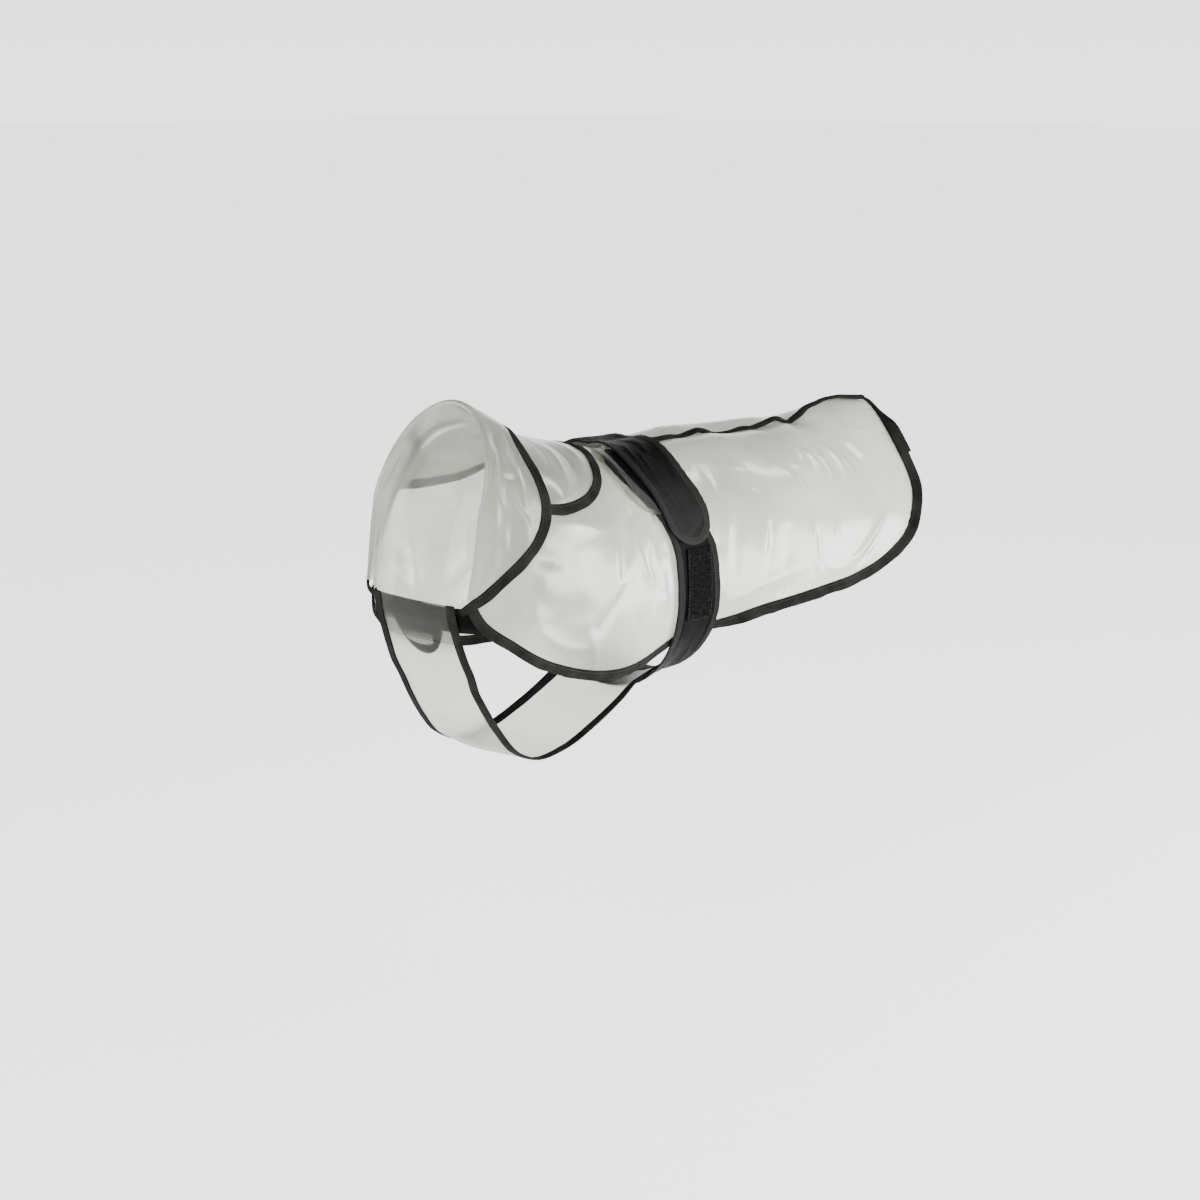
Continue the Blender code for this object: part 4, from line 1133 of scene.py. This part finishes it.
# stitched lines and waves on the upper belt: (run from the tip, place across), width, height
UPPER_LINES = (
    (13, 2.0, 40, -9.0, 66, -13.0, 1.3, -0.8, 0.8),
    (13, 2.0, 15, 12.0, 22, 19.0, 1.3, -0.6, 0.8),
    (22, -12.0, 40, -17.5, 62, -18.5, 2.6, 0.6, 0.4),
    (44, -7.0, 56, -9.5, 72, -10.0, 1.6, 1.3, 0.8),
    (50, -12.0, 62, -15.5, 78, -17.0, 1.5, 1.0, 0.8),
    (58, -5.0, 72, -6.5, 92, -4.0, 2.0, 1.3, 0.8),
    (70, -12.0, 88, -14.0, 104, -10.0, 2.2, 1.1, 0.7),
    (84, 4.0, 104, 8.0, 120, 6.0, 3.5, 1.1, 0.5),
    (74, 14.0, 86, 6.0, 96, -2.0, 2.5, -0.8, 0.5),
    (96, 16.0, 112, 4.0, 122, -10.0, 4.0, 1.0, 0.4),
    (30, 6.0, 50, 4.0, 70, 8.0, 6.0, 0.6, 0.2),
    (15, -2.0, 36, -7.5, 60, -6.5, 1.3, 1.2, 0.8),
    (26, -17.0, 40, -14.0, 58, -15.5, 1.5, 1.0, 0.8),
    (18, 9.0, 32, 4.5, 46, 2.0, 1.7, 0.9, 0.6),
    (9, -8.0, 14, -1.0, 16, 8.0, 1.3, 0.9, 0.7),
    (44, 12.0, 60, 15.0, 78, 19.0, 2.2, 0.9, 0.5),
    (120, -16.0, 138, -6.0, 150, 8.0, 5.0, 0.9, 0.4),
    (170, 14.0, 190, 2.0, 214, -8.0, 6.0, 0.8, 0.3),
    (236, -14.0, 262, -2.0, 290, 4.0, 6.0, -0.7, 0.3),
    (300, 12.0, 320, 2.0, 346, -6.0, 6.0, 0.7, 0.3),
)
LOWER_LINES = (
    (176, -20.0, 196, -6.0, 214, 8.0, 3.6, 1.3, 0.6),
    (186, -22.0, 206, -12.0, 228, -4.0, 3.2, -1.0, 0.6),
    (170, 6.0, 190, 14.0, 208, 20.0, 3.4, 1.1, 0.5),
    (198, 20.0, 212, 8.0, 226, 2.0, 3.4, 1.0, 0.5),
    (220, -18.0, 240, -2.0, 256, 14.0, 5.0, 0.9, 0.4),
    (60, -16.0, 86, -18.0, 110, -16.0, 2.0, 0.6, 0.6),
    (96, 19.5, 140, 20.0, 176, 19.0, 1.2, 0.7, 0.7),
    (96, -18.5, 140, -19.0, 176, -18.0, 1.0, -0.7, 0.7),
    (96, -21.5, 140, -22.0, 176, -21.0, 1.0, 0.6, 0.7),
)


def strap(name, table, tip_round, rows, lines, climbing):
    """A belt part; the climbing one is the upper, which rises onto the lower."""
    grid, place, gap = strap_grid(table, tip_round, rows)
    x, v = place[..., 0], place[..., 1] / BELT_HALF
    ahead, behind = np.clip(-v, 0.0, 1.0), np.clip(v, 0.0, 1.0)
    if climbing:
        swell = ease((x - 8.0) / 30.0) * (1.0 - ease((x - 118.0) / 45.0))
        grid[..., 0] += TIP_WIDER * swell * behind ** 1.5
    else:
        front = ease((grid[..., 1] - 26.0) / 24.0) * (1.0 - ease((grid[..., 1] - 84.0) / 22.0))
        grid[..., 0] -= FRONT_SHOWS * front * ahead ** 2
    q, s = grid[..., 0], grid[..., 1]
    rise, bind = belt_relief(place, gap)
    rise = rise + crease_height(x, place[..., 1], lines)
    under, over = (level + 0 * s for level in BELT_UNDER)
    soft = 0.35 * (1.0 - np.clip(gap / 1.1, 0.0, 1.0)) ** 2
    if climbing:
        climb = ease((s - STRAP_RISE_FROM) / (STRAP_RISE_TO - STRAP_RISE_FROM))
        stand = TIP_STANDS * swell * behind ** 1.3
        under = under + climb * (BELT_OVER[0] - BELT_UNDER[0]) + stand
        over = over + climb * (BELT_OVER[1] - BELT_UNDER[1]) + stand
        # the rounded end is painted part way to the bound edges' lighter tone: a painted sheen
        bind = np.maximum(bind, TIP_PAINTED_SHEEN * (1.0 - ease((x - 44.0) / 26.0)))
    else:
        under, over = under + 0.45 * front * ahead ** 2, over - 0.5 * front * ahead ** 2
    high = on_form(q, s, over - 0.3 + np.clip(rise, -1.2, 1.0))
    made = shell(name, on_form(q, s, under + soft), high, UPPER_MAT if climbing else BELT_MAT,
                 place, {"bound": bind}, 60.0)
    normal = form_normal(q, s)
    stitch_lines = []
    for k in (-1.0, 1.0):
        col = int(np.argmin(np.abs(place[-1, :, 1] - k * (BELT_HALF - BIND_STITCH))))
        keep = gap[:, col] > BIND_STITCH - 0.6
        stitch_lines.append((high[keep, col] - normal[keep, col] * 0.08, normal[keep, col]))
    return made, stitch_lines, (place, high, normal)


belt_low, low_rows, _ = strap("belt_lower_cloth", BELT_LOWER, LOWER_TIP_ROUND, LOWER_ROWS,
                              LOWER_LINES, False)
belt_up, up_rows, up_parts = strap("belt_upper_cloth", BELT_UPPER, UPPER_TIP_ROUND,
                                   UPPER_ROWS, UPPER_LINES, True)


def tip_stitches():
    """The stitch line round the belt's rounded end."""
    angle = np.linspace(-0.5 * np.pi, 0.5 * np.pi, 60)
    x = BIND_STITCH + UPPER_TIP_ROUND * (1.0 - np.cos(angle))
    y = (BELT_HALF - BIND_STITCH) * np.sin(angle)
    place, high, normal = (part.reshape(-1, part.shape[-1]) for part in up_parts)
    pick = [int(np.argmin((place[:, 0] - a) ** 2 + (place[:, 1] - b) ** 2))
            for a, b in zip(x, y)]
    keep = sorted(set(pick), key=pick.index)
    return [(high[keep], normal[keep])]


def pile():
    """The loop strip: a low uneven pile with faint ribs, and its stitched sides."""
    q, s = np.meshgrid(np.linspace(*LOOP_Q, 80), np.linspace(*LOOP_S, 150))
    u, v = q - LOOP_Q[0], s - LOOP_S[0]
    edge = np.minimum.reduce([u, LOOP_Q[1] - q, v, LOOP_S[1] - s])
    rib = 0.16 * np.sin(2 * np.pi * v / 2.3) + 0.2 * smooth_noise(91, u, v, 1.5)
    h = 4.75 + (0.35 + rib + 0.18 * smooth_noise(93, u, v, 5.0)) * ease(edge / 1.6)
    made = shell("belt_loop_pile", on_form(q, s, 4.3 + 0 * h), on_form(q, s, h), PILE_MAT,
                 np.stack([u, v], -1), sharp=80.0)
    lines = []
    left, right, near, far = 0.9, 32.1, 0.9, 63.1
    for a, b, c, d in ((left, near, left, far), (right, near, right, far),
                       (left, far, right, far)):
        t = np.linspace(0, 1, 60)
        at = LOOP_Q[0] + a + (c - a) * t, LOOP_S[0] + b + (d - b) * t
        lines.append((on_form(*at, 4.95 + 0 * t), form_normal(*at)))
    return made, lines


loop_pile, pile_rows = pile()
belt_stitches = stitches("belt_stitches", low_rows + up_rows + tip_stitches() + pile_rows,
                         THREAD_MAT)

# a tuck of film that stands over the lower belt's front edge: front line and height
TUCK_FRONT = ((-84, 30), (-81, 46), (-78.5, 60), (-76, 74), (-71, 87), (-62, 95.5), (-50, 98.5))
TUCK_BACK = ((-68, 26), (-70.5, 42), (-70.5, 56), (-66, 68), (-58, 79), (-49, 88), (-42.5, 98))
TUCK_HIGH = 4.55


def tuck():
    front, back = resample(TUCK_FRONT, TUCK_ROWS), resample(TUCK_BACK, TUCK_ROWS)
    t = np.linspace(0.0, 1.0, TUCK_COLS)[None, :, None]
    grid = front[:, None] * (1 - t) + back[:, None] * t
    q, s = grid[..., 0], grid[..., 1]
    rise = np.sin(np.clip(t[..., 0] / 0.42, 0.0, 1.0) * np.pi / 2)
    h = (relief(q, s) * (1 - rise) + 0.42 + (TUCK_HIGH - 0.42) * rise
         + rise * 0.12 * smooth_noise(95, q, s, 9.0))
    low, high = film_walls(q, s, h, 0.3)
    return shell("film_tuck", low, high, BIB_FILM_MAT, lengths_uv(low))


film_tuck = tuck()

# ---------------------------------------------------------------- bib
BIB_DOUBLE = 36.0         # depth of the folded top
SEAM_STITCH = (2.6, 2.45, 0.6)     # pitch, length and width of the stitches that hold it
# creases: (run down from the top, place across with + to the wearer's left), width, height
BIB_CREASES = (
    (62, -34, 92, -8, 118, 20, 5.0, -1.2, 0.5),
    (78, -40, 104, -22, 124, -6, 6.0, 1.2, 0.5),
    (44, 30, 70, 22, 100, 26, 6.0, 0.8, 0.3),
    (96, 36, 120, 24, 136, 8, 5.0, 0.9, 0.5),
    (50, -30, 64, -10, 70, 14, 7.0, 0.8, 0.3),
    (150, -30, 176, -10, 190, 16, 8.0, 0.9, 0.3),
    (190, 26, 214, 6, 226, -20, 7.0, -0.9, 0.4),
    (240, -24, 258, 0, 270, 24, 7.0, 0.8, 0.4),
    (10, -20, 18, 4, 14, 26, 8.0, -0.5, 0.2),
)


def bib_point(run, y):
    """Middle of the bib's wall at a length down from its top and a distance y across."""
    run, y = np.broadcast_arrays(np.asarray(run, float), np.asarray(y, float))
    x, z, half, bend = (smooth_curve(BIB_RUN, c, run) for c in BIB_TABLE.T)
    ahead = unit(np.stack([smooth_curve(BIB_RUN, c, run + 0.5)
                           - smooth_curve(BIB_RUN, c, run - 0.5) for c in BIB_TABLE.T[:2]], -1))
    inward = bend * (y / half) ** 2
    return np.stack([x - ahead[..., 1] * inward, y, z + ahead[..., 0] * inward + LIFT], -1)


def bib_normal(run, y):
    """Outward, away from the wearer."""
    step = 0.8
    along = bib_point(run + step, y) - bib_point(run - step, y)
    across = bib_point(run, y + step) - bib_point(run, y - step)
    return unit(np.cross(across, along))


def bib_sway(run):
    """How far the bib's edges wander sideways, small."""
    return (0.9 * np.sin(run / 21.0) * np.exp(-((run - 95.0) / 60.0) ** 2)
            + 1.1 * np.exp(-((run - 66.0) / 9.0) ** 2) - 0.9 * np.exp(-((run - 86.0) / 8.0) ** 2))


def bib_half(run):
    return smooth_curve(BIB_RUN, BIB_TABLE[:, 2], run) + bib_sway(run)


def on_bib(run, y, h):
    """Points at the height h outside the bib's middle."""
    return bib_point(run, y) + bib_normal(run, y) * np.asarray(h)[..., None]


def bib_film():
    """The bib's film, and the part that is folded back behind its top."""
    run = np.linspace(0.0, BIB_RUN[-1], BIB_ROWS)[:, None]
    v = np.linspace(-1.0, 1.0, BIB_COLS)[None, :]
    film = bib_half(run) - TAPE_WIDTH - SEAM + 0.4
    y, away, run = film * v, film * (1 - np.abs(v)), run + 0 * v
    lift = crease_height(run, -y, BIB_CREASES) * ease(away / 9.0)
    lift = lift + 0.35 * smooth_noise(101, run, y, 26.0) * ease(away / 12.0)
    lift = lift + 0.8 * pucker(run, away, 103)
    lift = lift + (np.abs(lift) - lift) * (1.0 - ease((run - 40.0) / 14.0))
    wall = FILM_REAL / 2
    made = shell("bib_film", on_bib(run, y, lift - wall), on_bib(run, y, lift + wall),
                 BIB_FILM_MAT, np.stack([run, y], -1))
    inner = run[:, 0] <= BIB_DOUBLE
    run, y, lift = run[inner], y[inner], lift[inner]
    close = np.minimum(run, BIB_DOUBLE - run) / 6.0
    back = 0.42 + (0.08 + 0.08 * smooth_noise(105, run, y, 14.0)) * ease(close)
    return made, shell("bib_film_fold", on_bib(run, y, lift - back - 0.15),
                       on_bib(run, y, lift - back + 0.12), BIB_FILM_MAT, np.stack([run, y], -1))


bib_outer, bib_inner = bib_film()


def bib_binding(name, side, seed):
    run = np.linspace(0.0, BIB_RUN[-1], BIB_RINGS)
    inner = bib_half(run) - TAPE_WIDTH
    swell = 1.0 + 0.12 * smooth_noise(seed, run, run * 0, 7.0)
    rings = [on_bib(run, side * (inner + np.clip(d, -0.7, 8.0)), h * swell)
             for d, h in TAPE_SECTION]
    y = side * (inner + STITCH_D)
    rows = [(on_bib(run, y, k * STITCH_H * swell), bib_normal(run, y) * k) for k in (1.0, -1.0)]
    return loop_tube(name, np.stack(rings, 1), TAPE_MAT, ring_uv(run, TAPE_SECTION[:, 0])), rows


bib_left, bib_rows_left = bib_binding("bib_binding_left", -1.0, 111)
bib_right, bib_rows_right = bib_binding("bib_binding_right", 1.0, 113)
trim_stitches = stitches("trim_stitches", fin_rows + collar_rows + flap_rows + bib_rows_left
                         + bib_rows_right, THREAD_MAT)


def bib_seam():
    """The thread line that holds the folded top."""
    reach = bib_half(BIB_DOUBLE) - TAPE_WIDTH - 1.0
    y = np.linspace(-reach, reach, 80)
    run = BIB_DOUBLE - 0.6 + 0.5 * np.sin(y / 14.0)
    return stitches("bib_seam_stitches", [(on_bib(run, y, 0.2 + 0 * y), bib_normal(run, y))],
                    SEAM_THREAD_MAT, *SEAM_STITCH)


seam_line = bib_seam()


# ---------------------------------------------------------------- the closure at the chest
def tab_cloth(name, y, bottom, behind):
    share = np.linspace(0.0, 1.0, 26)[None, :]
    z = TAB_TOP + (bottom[:, None] - TAB_TOP) * share
    y = y[:, None] + 0 * share
    gap = np.minimum(z - bottom[:, None], TAB_TOP - z)
    puff_up = 0.25 * ease(gap / 1.2) + 0.12 * smooth_noise(121, y, z, 9.0)
    back = CHEST_BEHIND + behind[:, None] + 0 * share
    front = chest_point(y, z, back - CHEST_THICK / 2.0 + 0.25 - puff_up)
    rear = chest_point(y, z, back + CHEST_THICK / 2.0)
    bind = 1.0 - ease((gap - 4.5) / 0.5)
    return shell(name, rear, front, TAB_MAT, np.stack([y, z], -1), {"bound": bind})


outer_y = np.linspace(-TAB_CORNER_Y, TONGUE_HALF - TONGUE_END, 110)
tongue = TAB_TOP - (TAB_TOP - TONGUE_LOW) * np.sqrt(
    np.clip(1.0 - (outer_y / TONGUE_HALF) ** 2, 0.0, 1.0))
outer_low = np.where(outer_y < 0, np.minimum(tongue, TAB_LOW), tongue)
chest_left = tab_cloth("chest_tab_left_cloth", outer_y, outer_low, 0.0 * outer_y)
inner_y = np.linspace(TAB_CORNER_Y, -TAB_INNER_END, 70)
chest_right = tab_cloth("chest_tab_right_cloth", inner_y, np.full(70, TAB_LOW),
                        TAB_GAP * ease((TAB_DIVE_Y - inner_y) / TAB_DIVE_RUN))


def tab_patch():
    """The pale piece that shows on the tongue."""
    t = np.linspace(0.0, 1.0, 30)[:, None]
    share = np.linspace(0.0, 1.0, 10)[None, :]
    y = -15.0 + 33.0 * t + 0 * share
    top = -121.5 - 2.5 * t
    low = -133.5 + 4.0 * np.abs(2 * t - 1) ** 2.2
    z = top + (low - top) * share
    back = CHEST_BEHIND - CHEST_THICK / 2.0 - 0.22
    return shell("chest_tab_patch", chest_point(y, z, back + 0.16),
                 chest_point(y, z, back - 0.12), PALE_MAT, np.stack([y, z], -1))


chest_patch = tab_patch()

# ---------------------------------------------------------------- the tape's end at the rear
REAR_END_S = (16.0, 84.0)     # from near the tail to the cut end
REAR_WIDE = 8.4
REAR_STAND = 0.9         # how far it stands off as it goes outward
REAR_RAISED = 1.5
# section of that end: out as a share of its width, and height in mm
REAR_SECTION = ((-0.08, -0.2), (-0.06, 0.5), (0.1, 0.8), (0.5, 0.85), (0.9, 0.8),
                (1.0, 0.45), (1.0, -0.15), (0.9, -0.5), (0.5, -0.55), (0.1, -0.5))


def rear_end():
    """The binding's second end, which stands off over the rear edge and is cut square."""
    rear = left_grid[-1]
    line = resample(rear[(rear[:, 1] > REAR_END_S[0]) & (rear[:, 1] < REAR_END_S[1])],
                    REAR_RINGS)
    run = np.linspace(0.0, 1.0, REAR_RINGS)
    out = line - shifted(line, -1.0)
    stand = REAR_STAND * ease(run / 0.62)
    wide = REAR_WIDE * (0.55 + 0.45 * ease(run / 0.5))
    rings, uv = [], []
    for d, h in REAR_SECTION:
        place = line + out * (wide * d)[:, None]
        rings.append(on_form(*place.T, REAR_RAISED + h + stand * wide * max(d, 0.0)))
        uv.append(np.stack([run * 70.0, d * wide], -1))
    return loop_tube("rear_tape_end", np.stack(rings, 1), TAPE_MAT, np.stack(uv, 1))


rear_tape_end = rear_end()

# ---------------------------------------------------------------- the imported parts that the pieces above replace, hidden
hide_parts("panel_left")
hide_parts("panel_right")
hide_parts("hem_tape_left")
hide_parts("hem_tape_right")
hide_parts("spine_tape")
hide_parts("collar")
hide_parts("collar_tape")
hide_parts("leash_flap")
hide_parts("flap_tape")
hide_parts("belt_lower")
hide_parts("belt_upper")
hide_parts("velcro_loop")
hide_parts("bib")
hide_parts("bib_tape_left")
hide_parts("bib_tape_right")
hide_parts("chest_tab_left")
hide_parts("chest_tab_right")

# ---------------------------------------------------------------- floor, light and camera
FLOOR_Z = -0.52
bpy.ops.mesh.primitive_plane_add(size=60.0, location=(0.0, 0.0, FLOOR_Z))
floor = bpy.context.object
floor.name = "floor"
floor_mat, _, floor_shader = new_material("floor", 0.9, 0.0)
floor_shader.inputs["Base Color"].default_value = (0.9, 0.9, 0.9, 1.0)
floor_shader.inputs["Emission Color"].default_value = (1.0, 1.0, 1.0, 1.0)
floor_shader.inputs["Emission Strength"].default_value = 1.9
floor.data.materials.append(floor_mat)

# a room that is white all round and dim overhead
world = bpy.data.worlds.new("studio")
bpy.context.scene.world = world
world.use_nodes = True
sky = world.node_tree
backdrop = sky.nodes["Background"]
where = node(sky, "ShaderNodeTexCoord")
parts = node(sky, "ShaderNodeSeparateXYZ")
join(sky, where, "Generated", parts, "Vector")
level = colour_mix(sky, parts, "Z", (2.2, 2.2, 2.2), (0.2, 0.205, 0.21), 0.0, 0.55)
join(sky, level, "Color", backdrop, "Color")
backdrop.inputs["Strength"].default_value = 1.15


def area_light(name, place, target, wide, tall, power):
    lamp = bpy.data.lights.new(name, "AREA")
    lamp.shape, lamp.size, lamp.size_y, lamp.energy = "RECTANGLE", wide, tall, power
    thing = bpy.data.objects.new(name, lamp)
    thing.location = place
    way = np.array(target, float) - np.array(place, float)
    yaw = math.atan2(way[1], way[0])
    pitch = math.atan2(way[2], math.hypot(way[0], way[1]))
    thing.rotation_euler = (pitch + math.pi / 2, 0.0, yaw - math.pi / 2)
    bpy.context.scene.collection.objects.link(thing)


area_light("key", (-2.0, -0.4, 1.1), (0.0, 0.0, -0.05), 1.2, 1.2, 40.0)
area_light("side", (1.05, -1.25, -0.3), (0.05, 0.0, -0.08), 1.7, 0.4, 34.0)
area_light("flank", (0.1, -1.75, 0.45), (-0.15, 0.0, -0.05), 0.5, 1.2, 20.0)
area_light("back", (1.45, -0.8, 1.15), (0.15, 0.0, 0.0), 0.35, 0.6, 10.0)

CAMERA_PLACE = (-1.5266, -1.3647, 0.3302)
CAMERA_AZIMUTH, CAMERA_ELEVATION = 47.5, 13.0
camera_data = bpy.data.cameras.new("camera")
camera_data.lens, camera_data.sensor_width = 69.0, 36.0
camera = bpy.data.objects.new("camera", camera_data)
camera.location = CAMERA_PLACE
camera.rotation_euler = (math.radians(90.0 - CAMERA_ELEVATION), 0.0,
                         -math.radians(CAMERA_AZIMUTH))
bpy.context.scene.collection.objects.link(camera)
bpy.context.scene.camera = camera
